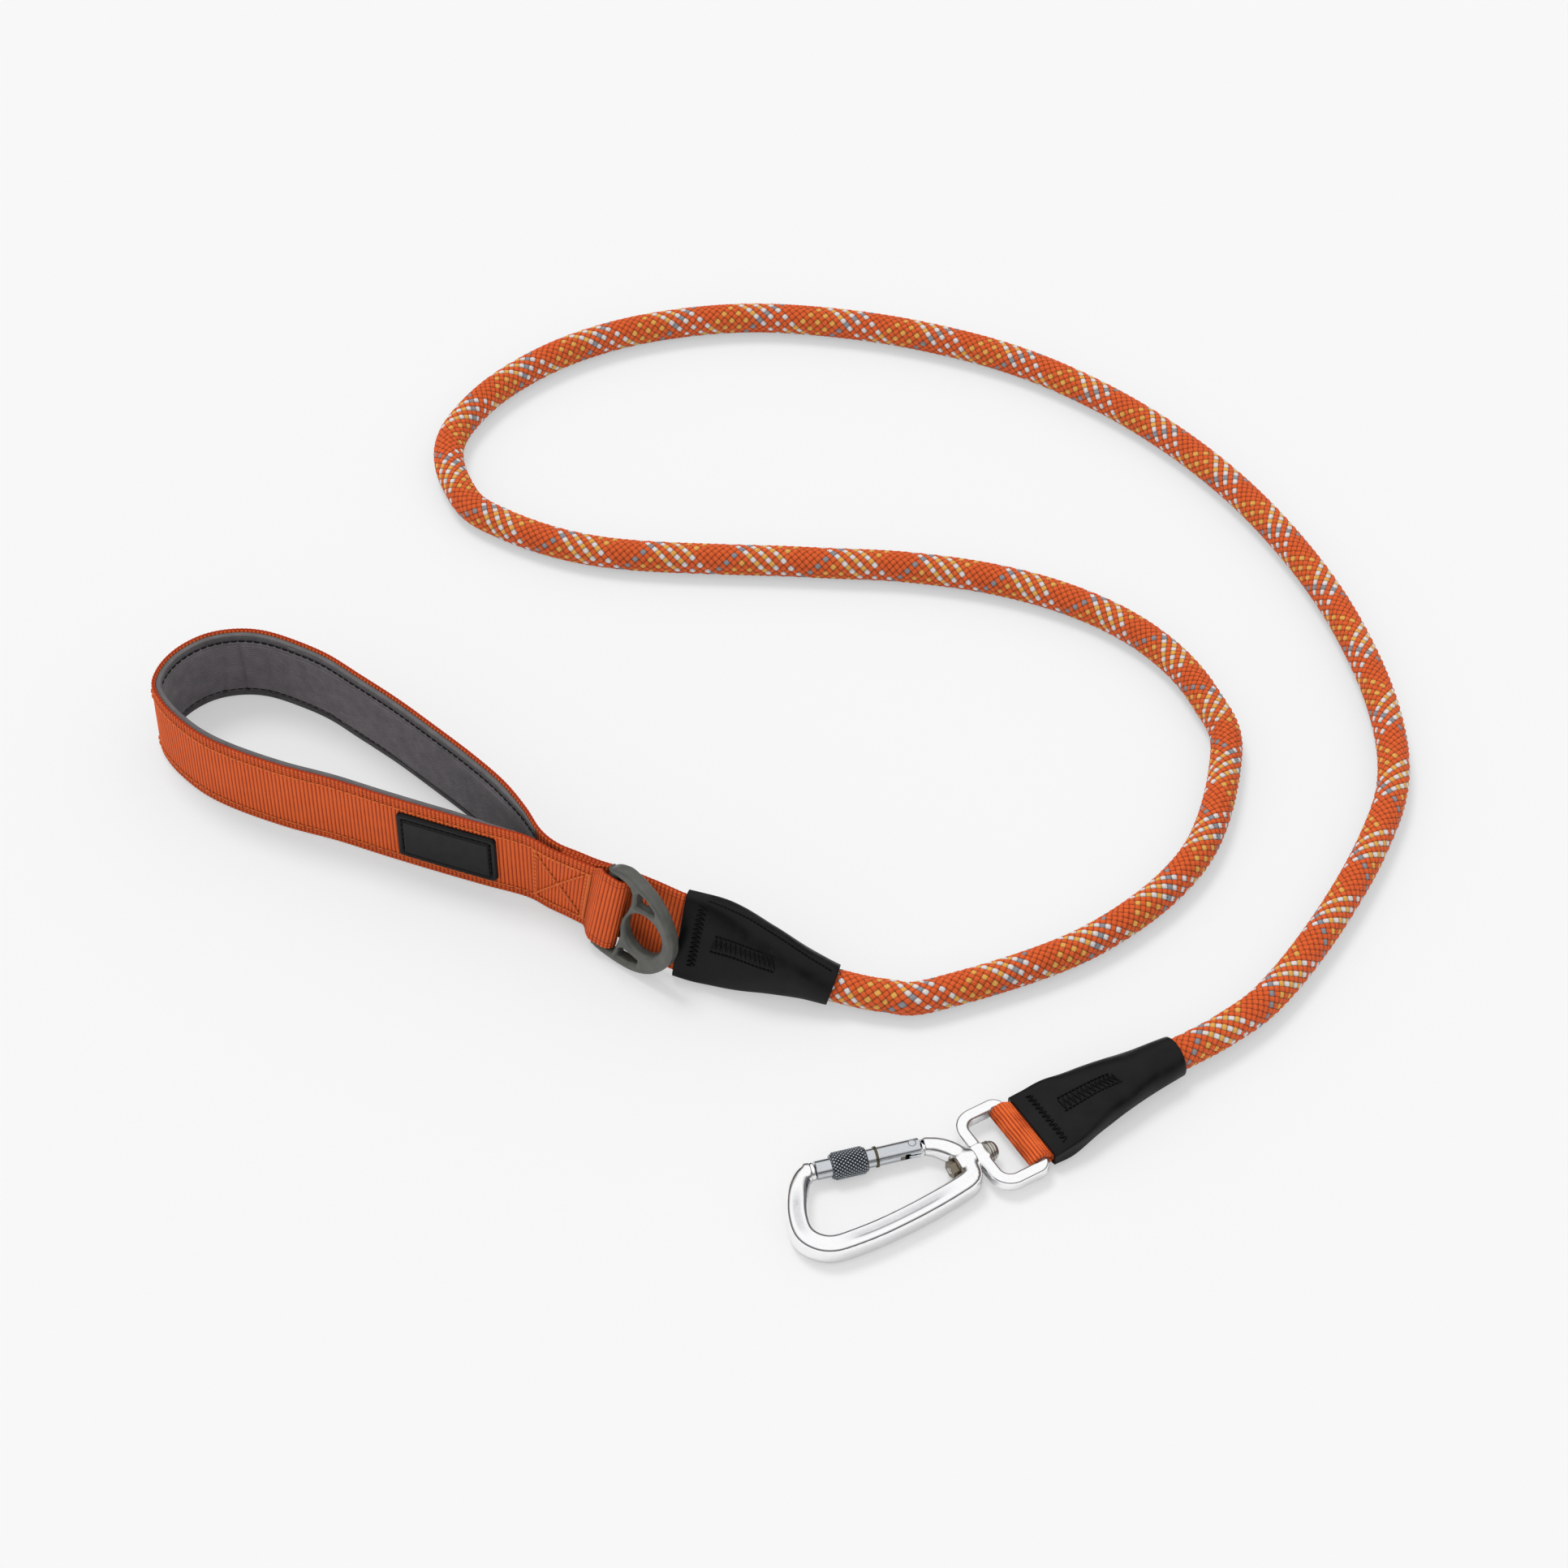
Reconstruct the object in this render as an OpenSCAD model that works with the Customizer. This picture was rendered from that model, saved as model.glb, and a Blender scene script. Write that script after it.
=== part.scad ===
// Rope dog leash with a webbing hand loop, leather end sleeves and a swivel screw-gate carabiner.
// Frame: +Z up, +X along the leash's longer side, +Y away from the front, floor at z = 0.

/* [Rope] */
// Diameter of the braided rope
rope_d = 11; // [10:0.1:11.1]
// Diameter of the twisted core inside the braided sheath
core_d = 8.6; // [7:0.1:9]

/* [Handle webbing] */
// Width of the handle webbing
webbing_w = 30; // [28:0.2:30.4]
// Thickness of the handle webbing
webbing_t = 1.4; // [1.2:0.05:1.4]
// Width of the padded lining inside the hand loop
lining_w = 27.6; // [24:0.2:28]
// Thickness of the padded lining
lining_t = 2.5; // [1.5:0.1:3]
// Thickness of the grey tape that binds the lining's edges
binding_t = 0.6; // [0.4:0.1:0.8]

/* [Stitching] */
// Distance of the stitch rows from the webbing's edge
stitch_inset = 3.5; // [2.5:0.1:5]
// Width of a stitch row
thread_w = 0.8; // [0.4:0.05:1]
// Thickness of a stitch row
thread_t = 0.3; // [0.2:0.05:0.5]

/* [Label] */
// Height of the rubber label
label_h = 20; // [16:0.5:22]
// Thickness of the rubber label's base
label_t = 1.3; // [0.8:0.1:2]
// Width of the margin around the label's raised field
label_margin = 2; // [1.5:0.1:3]
// Height of the raised field above the base
label_field_t = 0.5; // [0.3:0.1:1]

/* [Accessory ring] */
// Diameter of the bar that the webbing wraps
bar_d = 4; // [3.6:0.1:4]
// Thickness of the moulded ring
ring_t = 5; // [4:0.1:5]
// Diameter of the finger hole
finger_d = 15.2; // [12:0.2:15.4]

/* [Leather sleeves] */
// Thickness of the leather
leather_t = 1; // [0.8:0.05:1.1]
// Plan length of the sleeve at the handle
handle_sleeve_l = 50.6; // [50:0.1:54]
// Length of the sleeve at the clip
clip_sleeve_l = 53.5; // [50:0.5:56]

/* [Clip webbing] */
// Width of the clip webbing
clip_web_w = 24; // [22:0.2:24]
// Thickness of the clip webbing
clip_web_t = 1.5; // [1.2:0.05:1.55]

/* [Swivel ring] */
// Outer width of the swivel ring across the webbing
swivel_w = 32.4; // [32.4:0.1:34]
// Distance between the axes of the ring's two bars
swivel_pitch = 15; // [15:0.1:15.5]
// Width of the ring's flat bars
swivel_bar_w = 4.2; // [3.6:0.1:4.4]
// Thickness of the swivel ring
swivel_t = 4.8; // [4.6:0.1:5.4]
// Diameter of the round bar in the webbing
swivel_bar_d = 4; // [3.6:0.1:4]

/* [Swivel pin] */
// Diameter of the swivel pin
pin_d = 2.8; // [2.4:0.1:3]
// Diameter of the pin's domed head
pin_head_d = 6.2; // [5:0.1:7]
// Diameter of the two washers under the pin's head
washer_d = 7; // [6:0.1:7.6]
// Thickness of one washer
washer_t = 0.9; // [0.5:0.05:1]
// Width of the hexagonal nut over its corners
nut_d = 5.8; // [5:0.1:6]
// Length of the hexagonal nut
nut_l = 2.6; // [1.8:0.1:3]

/* [Carabiner] */
// Width of the carabiner's bar in its own plane
body_w = 6.8; // [6:0.1:7]
// Thickness of the carabiner's bar
body_t = 8.2; // [7:0.1:8.4]
// Diameter of the swivel barrel
barrel_d = 7.4; // [6.4:0.1:8]
// Length of the swivel barrel
barrel_l = 6.2; // [5.4:0.1:6.4]

/* [Gate] */
// Outer diameter of the gate tube
gate_d = 6; // [5.8:0.05:6.1]
// Bore of the gate tube
gate_bore_d = 4.5; // [4.3:0.05:4.6]
// Length of the gate tube
gate_l = 34.4; // [34:0.1:34.5]
// Thickness of the two tangs that the gate's slots take
tang_t = 2.2; // [1.8:0.1:2.4]
// Diameter of the gate's pivot rivet
rivet_d = 2; // [1.6:0.1:2.1]
// Diameter of the spring wire
wire_d = 0.45; // [0.3:0.05:0.5]

/* [Lock sleeve] */
// Outer diameter of the knurled lock sleeve
lock_d = 8.8; // [8:0.1:8.8]
// Length of the lock sleeve
lock_l = 11.4; // [10.6:0.1:11.4]
// Number of knurl ridges around the lock sleeve
knurl_count = 30; // [20:1:36]
// Depth of the knurl
knurl_depth = 0.3; // [0.2:0.05:0.4]

/* [Hidden] */
$fn = 48;

// Gaps: between sewn layers, between pieces that only rest on each other, and in running fits
layer_gap = 0.1;
rest_gap = 0.3;
run_gap = 0.05;
ground_gap = 0.02;
bar_gap = 0.1;
clip_bar_gap = 0.2;
seam_gap = 0.12;
butt_gap = 1.6;

// ---- Vectors, curves and swept solids ----
function unit(v) = v / norm(v);
function mix(a, b, f) = a + (b - a) * f;
// Catmull-Rom curve between its two middle points
function curve(p0, p1, p2, p3, f) =
  0.5 * (2 * p1 + (p2 - p0) * f + (2 * p0 - 5 * p1 + 4 * p2 - p3) * f * f
  + (3 * p1 - p0 - 3 * p2 + p3) * f * f * f);
// Point of a route at a fractional index
function along(route, t) =
  let (last = len(route) - 1, i = min(floor(t), last - 1))
  curve(route[max(i - 1, 0)], route[i], route[i + 1], route[min(i + 2, last)], t - i);
// A route cut into equal parts per leg
function resampled(route, parts) =
  [for (i = [0:parts * (len(route) - 1)]) along(route, i / parts)];
function heading(pts, i) = unit(pts[min(i + 1, len(pts) - 1)] - pts[max(i - 1, 0)]);
function slice(list, from, to) = [for (i = [from:to]) list[i]];
function place(p) = [p[0], p[1], p[2]];

// Faces that join each ring to the next, each ring counterclockwise about its heading
function side_faces(count, n) =
  [for (i = [0:count - 2]) for (j = [0:n - 1])
    let (k = (j + 1) % n, a = i * n + j, b = i * n + k)
    each [[a, a + n, b], [b, a + n, b + n]]];
// Solid with closed ends
module swept(rings) {
  n = len(rings[0]);
  m = len(rings);
  polyhedron(
    points = [for (ring = rings) each ring],
    faces = concat(side_faces(m, n), [[for (j = [0:n - 1]) j]],
      [[for (j = [n - 1:-1:0]) (m - 1) * n + j]])
  );
}
// Tube between outer rings and inner rings of the same count, open at both ends
module sleeve(outer, inner) {
  n = len(outer[0]);
  rings = concat(outer, [for (i = [len(inner) - 1:-1:0]) inner[i]]);
  m = len(rings);
  polyhedron(
    points = [for (ring = rings) each ring],
    faces = concat(side_faces(m, n), [for (j = [0:n - 1])
      let (k = (j + 1) % n, a = (m - 1) * n + j, b = (m - 1) * n + k)
      each [[a, j, b], [b, j, k]]])
  );
}
// Oval ring about point p: u and v are its half axes, power 2 is an ellipse
function oval(p, u, v, power, sides) =
  [for (j = [0:sides - 1])
    let (c = cos(360 * j / sides), s = sin(360 * j / sides))
    p + sign(c) * pow(abs(c), 2 / power) * u + sign(s) * pow(abs(s), 2 / power) * v];
function round_rings(pts, r, sides) =
  [for (i = [0:len(pts) - 1])
    let (t = heading(pts, i), u = unit(cross([0, 0, 1], t)), v = cross(t, u))
    oval(pts[i], r * u, r * v, 2, sides)];

// Frames of flat tape, from stations [x, y, z of the outer face's middle, lean x, lean y, half
// width]: each is [point, width direction, direction from the outer face inwards, half width]
function tape_frames(stations) =
  let (pts = [for (s = stations) place(s)])
  [for (i = [0:len(stations) - 1])
    let (s = stations[i], up = unit([s[3], s[4], 1]))
    [pts[i], up, unit(cross(up, heading(pts, i))), s[5]]];
// Ring of a tape between depths a and b inwards and heights lo and hi up its width
function tape_ring(f, a, b, lo, hi) = [
  f[0] + a * f[2] + lo * f[1], f[0] + b * f[2] + lo * f[1],
  f[0] + b * f[2] + hi * f[1], f[0] + a * f[2] + hi * f[1]
];
module tape(frames, a, b, lo, hi) {
  swept([for (f = frames) tape_ring(f, a, b, lo, hi)]);
}

// ---- Handle sleeve ----
// Stations: plan distance, height of the middle, half width, half thickness, power, lean x, y
handle_wide = [11, -1.7];
handle_heading = -15.5;
handle_sleeve_stations = [
  [0, 16.5, 15.8, 2.8, 5, 0.22, 0.3], [9, 15.7, 15.8, 3.9, 4.2, 0.21, 0.3],
  [17, 14.5, 14.9, 5.4, 3.2, 0.19, 0.28], [25, 12.7, 13.2, 6.7, 2.5, 0.15, 0.24],
  [33, 11, 11.4, 6.8, 2.2, 0.1, 0.16], [42, 9, 9.2, 6.8, 2, 0.04, 0.06],
  [handle_sleeve_l, 7, 7, 6.8, 2, 0, 0]
];
function on_handle_axis(s, z) =
  [handle_wide[0] + s * cos(handle_heading), handle_wide[1] + s * sin(handle_heading), z];
handle_oval_at = resampled(handle_sleeve_stations, 2);
handle_oval_pts = [for (s = handle_oval_at) on_handle_axis(s[0], s[1])];
function handle_ovals(shrink) =
  [for (i = [0:len(handle_oval_at) - 1])
    let (
      s = handle_oval_at[i],
      t = heading(handle_oval_pts, i),
      side = unit(cross([s[5], s[6], 1], t)),
      up = cross(t, side)
    )
    oval(handle_oval_pts[i], (s[3] - shrink) * side, (s[2] - shrink) * up, s[4], 24)];

module handle_sleeve() {
  color("#232325")
    sleeve(handle_ovals(0), handle_ovals(leather_t));
}

// ---- Clip axis ----
// Middle of the swivel ring's near bar, and the heading of the swivel axis towards the rope
swivel_at = [104.5, -82, 4.5];
swivel_angle = 31;
module at_clip() {
  translate(swivel_at)
    rotate([0, 0, swivel_angle])
      children();
}
function from_clip(d, z) =
  [swivel_at[0] + d * cos(swivel_angle), swivel_at[1] + d * sin(swivel_angle), swivel_at[2] + z];

// Stations: distance from the wide end, height of the middle, half width, half thickness, power
clip_sleeve_from = swivel_pitch + 4.2;
clip_sleeve_stations = [
  [0, -0.3, 13.5, 2.9, 8], [8, 0.3, 13.4, 3.9, 6], [16, 1.4, 12.2, 5.4, 3],
  [24, 2.2, 10.8, 6.6, 2.4], [32, 2.4, 9.5, 6.8, 2.1], [42, 2.4, 8, 6.8, 2],
  [clip_sleeve_l, 2.4, 6.8, 6.8, 2]
];
clip_oval_at = resampled(clip_sleeve_stations, 2);
function clip_ovals(shrink) =
  [for (s = clip_oval_at)
    oval([clip_sleeve_from + s[0], 0, s[1]], [0, s[2] - shrink, 0], [0, 0, s[3] - shrink], s[4], 24)];

module clip_sleeve() {
  color("#232325")
    at_clip()
      sleeve(clip_ovals(0), clip_ovals(leather_t));
}

// ---- Stitching on the leather ----
// A row of stitches that lies on a sleeve's oval, from one station to another
seam_t = 0.3;

module handle_sleeve_stitching() {
  color("#101012")
    union() {
      sleeve_seam(handle_ovals(-seam_gap - seam_t), handle_ovals(-seam_gap), 1, 2, 10, 14);
      sleeve_seam(handle_ovals(-seam_gap - seam_t), handle_ovals(-seam_gap), 3, 7, 12, 13);
    }
}

module clip_sleeve_stitching() {
  color("#101012")
    at_clip()
      union() {
        sleeve_seam(clip_ovals(-seam_gap - seam_t), clip_ovals(-seam_gap), 1, 2, 3, 9);
        sleeve_seam(clip_ovals(-seam_gap - seam_t), clip_ovals(-seam_gap), 4, 8, 6, 7);
      }
}
// Patch between two sets of ovals, over stations i0 to i1 and around from point j0 to j1
module sleeve_seam(outer, inner, i0, i1, j0, j1) {
  swept([for (i = [i0:i1]) concat(
    [for (j = [j1:-1:j0]) inner[i][j]],
    [for (j = [j0:j1]) outer[i][j]]
  )]);
}

// ---- Rope ----
rope_tuck = 26;
rope_z = rope_d / 2 + ground_gap;
// Route on the floor: x, y and height of the rope's middle above its lying height
rope_floor = [
  [76, -19, 0.5], [93, -18, 0], [143, 4, 0], [179, 40, 0], [193, 87, 0], [188, 112, 0],
  [175, 135, 0], [154, 154, 0], [125, 168, 0], [90, 176, 0], [50, 179, 0], [-20, 184, 0],
  [-60, 201, 0], [-73, 218, 0], [-77, 239, 0], [-69, 259, 0], [-54, 277, 0], [-32, 293, 0],
  [-4, 304, 0], [30, 309, 0], [65, 306, 0], [98, 298, 0], [130, 285, 0], [159, 266, 0],
  [185, 242, 0], [208, 213, 0], [227, 179, 0], [240, 145, 0], [248, 108, 0], [248, 75, 0],
  [238, 45, 0], [220, 11, 0], [200, -18, 0], [184, -33, 0.6]
];
rope_route = concat(
  [on_handle_axis(handle_sleeve_l - rope_tuck, 11.7), on_handle_axis(handle_sleeve_l - 12, 8.7),
    on_handle_axis(handle_sleeve_l, 6.8)],
  [for (p = rope_floor) [p[0], p[1], p[2] + rope_z]],
  [from_clip(clip_sleeve_from + clip_sleeve_l, 2.3),
    from_clip(clip_sleeve_from + clip_sleeve_l - 13, 2.4),
    from_clip(clip_sleeve_from + clip_sleeve_l - rope_tuck, 2.4)]
);
rope_pts = resampled(rope_route, 2);

module rope_sheath() {
  r = rope_d / 2;
  color("#CF5526")
    sleeve(round_rings(rope_pts, r, 12), round_rings(rope_pts, core_d / 2 + layer_gap, 12));
}

module rope_core() {
  color("#E9E4DA")
    swept(round_rings(rope_pts, core_d / 2, 12));
}

// ---- Hand loop ----
half_w = webbing_w / 2;
strap_z = half_w + ground_gap;
web_butt = on_handle_axis(handle_sleeve_l - rope_tuck - butt_gap, 12);
// Webbing inside the sleeve and along the sewn box, as stations of its outer face
strap_in = [
  [web_butt[0] + 0.2, web_butt[1] + 0.6, web_butt[2], 0.15, 0.24, 9],
  [26.6, -5.3, 14.4, 0.19, 0.28, 12], [18.8, -3.1, 15.7, 0.21, 0.3, 14.4],
  [10.4, -0.7, 16.5, 0.21, 0.28, 14.5], [0.5, 5.8, 16.7, 0.17, 0.16, half_w],
  [-9.2, 12.1, 16.8, 0.16, 0.06, half_w], [-16.8, 17, 16.5, 0.13, -0.035, half_w],
  [-23.1, 21.1, 16, 0.09, -0.04, half_w], [-29.7, 25.4, 15.4, 0.05, -0.03, half_w]
];
// Far strap, end of the loop and near strap: x and y of the outer face
loop_plan = [
  [-34.6, 31.2], [-39.8, 41], [-47.4, 52.4], [-58.2, 64.3], [-71, 76.8], [-84.3, 89.3],
  [-97.7, 100.6], [-109.3, 110.1], [-121, 116.8], [-131, 121], [-139.5, 122.2], [-148, 121],
  [-155, 117.8], [-161.5, 112], [-166, 104.4], [-167.4, 96], [-164, 88], [-157.7, 80],
  [-149, 72.1], [-137.5, 65.3], [-121, 58], [-104.5, 52.3], [-88, 45.5], [-71, 38.8],
  [-54.5, 32.6], [-40.4, 27.6]
];
// Front layer over the sewn box
strap_box = [
  [-32.1, 21.7, 15.5, 0.06, -0.036, half_w], [-25.5, 17.4, 16.1, 0.1, -0.046, half_w],
  [-19.2, 13.3, 16.6, 0.15, -0.048, half_w]
];
strap_route = concat(strap_in, [for (p = loop_plan) [p[0], p[1], strap_z, 0, 0, half_w]], strap_box);
strap_parts = 3;
strap_list = resampled(strap_route, strap_parts);

// Middle of the bar that the webbing's end wraps, its lean, and the heading of the strap there
keeper_at = [-12.5, 7.6, 19.1];
keeper_lean = [0.2, 0.09];
keeper_up = unit([keeper_lean[0], keeper_lean[1], 1]);
strap_plan = [cos(-32.9), sin(-32.9), 0];
keeper_along = unit(strap_plan - (strap_plan * keeper_up) * keeper_up);
keeper_out = cross(keeper_along, keeper_up);
wrap_r = bar_d / 2 + bar_gap + webbing_t;
wrap_reach = 2.2;
function keeper_station(a, d, turn) =
  let (p = keeper_at + (a + wrap_r * sin(turn)) * keeper_along + (d + wrap_r * cos(turn)) * keeper_out)
  [p[0], p[1], p[2], keeper_lean[0], keeper_lean[1], half_w];
wrap_list = concat(
  [keeper_station(-5, -1.4, 0), keeper_station(-2.8, 0, 0), keeper_station(0, 0, 0)],
  [for (turn = [0:18:180]) keeper_station(wrap_reach, 0, turn)],
  [keeper_station(-1, 0, 180)]
);
// Inner end of the wrapped webbing between the two sewn layers
wrap_tail = [
  [-17.6, 15.75, 16.6, 0.13, -0.035, half_w], [-23.9, 19.85, 16, 0.09, -0.04, half_w],
  [-28.1, 22.6, 15.7, 0.07, -0.035, half_w]
];
web_frames = tape_frames(concat(strap_list, wrap_list, wrap_tail));
function route_index(leg) = strap_parts * leg;

module handle_webbing() {
  color("#D65A2A")
    swept([for (f = web_frames) tape_ring(f, 0, webbing_t, -f[3], f[3])]);
}

// The lining runs from where the loop opens to where it closes
lining_from = route_index(9);
lining_to = route_index(34) - 1;
lining_frames = slice(web_frames, lining_from, lining_to);
lining_last = lining_to - lining_from;
lining_in = webbing_t + layer_gap;
// The padding thins out over its last stations, where the loop closes
function padding(i) = lining_t * min(1, 0.2 + 0.2 * min(i, lining_last - i));
module lined(lo, hi) {
  swept([for (i = [0:lining_last])
    tape_ring(lining_frames[i], lining_in, lining_in + padding(i), lo, hi)]);
}

module handle_lining() {
  color("#625E62")
    lined(-lining_w / 2, lining_w / 2);
}

module lining_binding() {
  edge = lining_w / 2 + layer_gap / 2;
  color("#55534F")
    union() {
      lined(edge, edge + binding_t);
      lined(-edge - binding_t, -edge);
    }
}

// ---- Stitching on the webbing ----
stitch_row = half_w - stitch_inset;
module row(from, to, height) {
  tape(
    slice(web_frames, from, to), -ground_gap - thread_t, -ground_gap,
    height - thread_w / 2, height + thread_w / 2
  );
}
// Row that climbs or falls across the tape from one height to another, in a layer of thread
module diagonal_row(from, to, low, high, layer) {
  out = layer * (thread_t + ground_gap);
  swept([for (i = [from:to])
    let (h = mix(low, high, (i - from) / (to - from)))
    tape_ring(web_frames[i], -out, thread_t - out, h - thread_w / 2, h + thread_w / 2)]);
}

label_from = route_index(31) + 1;
label_to = route_index(33) + 1;

module handle_stitching() {
  color("#E06A38")
    for (side = [-1, 1]) {
      row(lining_from, label_from - 1, side * stitch_row);
      row(label_to + 1, box_from - 1, side * stitch_row);
    }
}

// Sewn box with its two diagonals
box_from = route_index(34) + 1;
box_to = route_index(37);

box_inside = stitch_row - thread_w;

module box_stitching() {
  color("#E8743C") {
    for (side = [-1, 1]) {
      row(box_from, box_to, side * stitch_row);
      diagonal_row(
        box_from + 1, box_to - 1, -side * box_inside * 0.9, side * box_inside * 0.9, 1.5 - side / 2
      );
    }
    box_end(box_from, 0, 0.35);
    box_end(box_to - 1, 0.65, 1);
  }
}
// Upright row between the long rows, over fractions f0 to f1 of the way from one frame to the next
module box_end(i, f0, f1) {
  a = web_frames[i];
  b = web_frames[i + 1];
  swept([for (f = [f0, f1])
    tape_ring(
      [for (k = [0:3]) mix(a[k], b[k], f)], -ground_gap - thread_t, -ground_gap,
      -box_inside, box_inside
    )]);
}

// ---- Rubber label ----
label_frames = slice(web_frames, label_from, label_to);
label_last = len(label_frames) - 1;
field_half = label_h / 2 - label_margin;
// Frames of the raised field, drawn in by the margin at both ends
function drawn_in(frames, f) = concat(
  [[for (k = [0:3]) mix(frames[0][k], frames[1][k], f)]],
  slice(frames, 1, label_last - 1),
  [[for (k = [0:3]) mix(frames[label_last][k], frames[label_last - 1][k], f)]]
);

module label_patch() {
  color("#26262A")
    union() {
      tape(label_frames, -ground_gap - label_t, -ground_gap, -label_h / 2, label_h / 2);
      tape(
        drawn_in(label_frames, 0.34), -ground_gap - label_t - label_field_t,
        -ground_gap - label_t / 2, -field_half, field_half
      );
    }
}

module label_stitching() {
  depth = ground_gap + label_t + ground_gap;
  height = field_half + label_margin / 2;
  color("#1B1B1D")
    for (side = [-1, 1])
      tape(
        drawn_in(label_frames, 0.15), -depth - thread_t, -depth,
        side * height - thread_w / 2, side * height + thread_w / 2
      );
}

// ---- Accessory ring ----
// Frame of the ring: x away from its bar, y up along the bar, z out of its front face
keeper_swing = 6;
ring_x = cos(keeper_swing) * keeper_along + sin(keeper_swing) * keeper_out;
ring_z = cross(ring_x, keeper_up);
module at_keeper() {
  multmatrix([
    [ring_x[0], keeper_up[0], ring_z[0], keeper_at[0]],
    [ring_x[1], keeper_up[1], ring_z[1], keeper_at[1]],
    [ring_x[2], keeper_up[2], ring_z[2], keeper_at[2]],
    [0, 0, 0, 1]
  ])
    children();
}
ring_outline = [
  [-2.2, 14.2], [-1.6, 16.2], [0.2, 18], [2.8, 19.2], [5, 19.7], [8, 19.3], [12, 18.2], [17.2, 16],
  [21.8, 12.6], [25.4, 8.4], [27.6, 4.4], [28.6, 0], [27.8, -5.2], [25, -10.2], [21, -14.2],
  [15.7, -16.8], [10, -17.9], [4.2, -18.2], [0.3, -18], [-1.8, -17.4], [-2.4, -16]
];
ring_slot = [
  [-8, -15.6], [5.2, -15.6], [6.4, -15.1], [7.1, -12.6], [7.6, -9.7], [7.8, -6.2], [7, -3],
  [7, 0.4], [8.2, 3.9], [9.2, 9.1], [8.8, 12.9], [7.6, 14.8], [5.6, 15.6], [-8, 15.6]
];
ring_windows = [
  [[11.4, 9.4], [10.8, 14], [11.6, 15], [14.5, 14.4], [18.4, 12], [18.6, 10.8], [15.8, 9.8]],
  [[8.8, -11.8], [10, -10.6], [16.4, -11.3], [16.4, -12.8], [13.1, -14.2], [8.6, -14.8]]
];
finger_at = 16.2;

module accessory_ring() {
  color("#63625F")
    at_keeper()
      union() {
        difference() {
          translate([0, 0, -ring_t / 2])
            linear_extrude(ring_t)
              difference() {
                polygon(ring_outline);
                polygon(ring_slot);
                for (window = ring_windows)
                  polygon(window);
              }
          translate([finger_at, 0, -ring_t])
            cylinder(d = finger_d, h = 2 * ring_t);
        }
        translate([0, 16, 0])
          rotate([90, 0, 0])
            cylinder(d = bar_d, h = 32);
      }
}

// ---- Clip webbing ----
clip_wrap_r = swivel_bar_d / 2 + clip_bar_gap + clip_web_t;
clip_fold = clip_web_t + layer_gap / 2;
clip_path = concat(
  [[clip_sleeve_from + clip_sleeve_l - rope_tuck - rest_gap, -clip_fold + 1.6, 8],
    [clip_sleeve_from + 17, -clip_fold + 0.9, 10.5],
    [clip_sleeve_from + 9, -clip_fold + 0.2, clip_web_w / 2],
    [clip_sleeve_from + 0.4, -clip_fold - 0.3, clip_web_w / 2]],
  [for (turn = [-80:-21:-290])
    [swivel_pitch + clip_wrap_r * cos(turn), clip_wrap_r * sin(turn), clip_web_w / 2]],
  [[clip_sleeve_from + 0.4, clip_fold - 0.3, clip_web_w / 2],
    [clip_sleeve_from + 9, clip_fold + 0.2, clip_web_w / 2],
    [clip_sleeve_from + 17, clip_fold + 0.9, 10.5],
    [clip_sleeve_from + clip_sleeve_l - rope_tuck - rest_gap, clip_fold + 1.6, 8]]
);
clip_frames = [for (i = [0:len(clip_path) - 1])
  let (pts = [for (p = clip_path) [p[0], 0, p[1]]], t = heading(pts, i))
  [pts[i], [0, 1, 0], cross([0, 1, 0], t), clip_path[i][2]]];

module clip_webbing() {
  color("#D65A2A")
    at_clip()
      swept([for (f = clip_frames) tape_ring(f, 0, clip_web_t, -f[3], f[3])]);
}

// ---- Swivel ring ----
swivel_half = swivel_w / 2;
swivel_in = swivel_half - 3.9;
pin_hole_d = pin_d + 2 * run_gap;

module swivel_ring() {
  reach = swivel_pitch + swivel_bar_d / 2 + 0.1;
  color("#C9CACC")
    at_clip()
      union() {
        difference() {
          translate([0, 0, -swivel_t / 2])
            linear_extrude(swivel_t)
              difference() {
                hull()
                  for (side = [-1, 1]) {
                    translate([7 - swivel_bar_w / 2, side * (swivel_half - 7)])
                      circle(r = 7);
                    translate([reach - 4, side * (swivel_half - 4)])
                      circle(r = 4);
                  }
                hull()
                  for (side = [-1, 1]) {
                    translate([3 + swivel_bar_w / 2, side * (swivel_in - 3)])
                      circle(r = 3);
                    translate([reach + 4, side * (swivel_in - 0.5)])
                      circle(r = 0.5);
                  }
              }
          rotate([0, 90, 0])
            cylinder(d = pin_hole_d, h = 3 * swivel_bar_w, center = true);
        }
        translate([swivel_pitch, 0, 0])
          rotate([90, 0, 0])
            cylinder(d = swivel_bar_d, h = swivel_w - 6, center = true);
      }
}

// ---- Swivel pin, washers and nut, along the swivel axis ----
washer_gap = 0.03;
washers_from = swivel_bar_w / 2 + washer_gap;
head_from = washers_from + 2 * (washer_t + washer_gap);
barrel_from = -swivel_bar_w / 2 - 0.1;
barrel_to = barrel_from - barrel_l;
nut_to = barrel_to - washer_gap - nut_l;
head_h = 2.2;

module swivel_washers() {
  color("#A9AAAC")
    at_clip()
      for (i = [0, 1])
        translate([washers_from + i * (washer_t + washer_gap), 0, 0])
          rotate([0, 90, 0])
            difference() {
              cylinder(d = washer_d, h = washer_t);
              translate([0, 0, -1])
                cylinder(d = pin_hole_d, h = washer_t + 2);
            }
}

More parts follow.
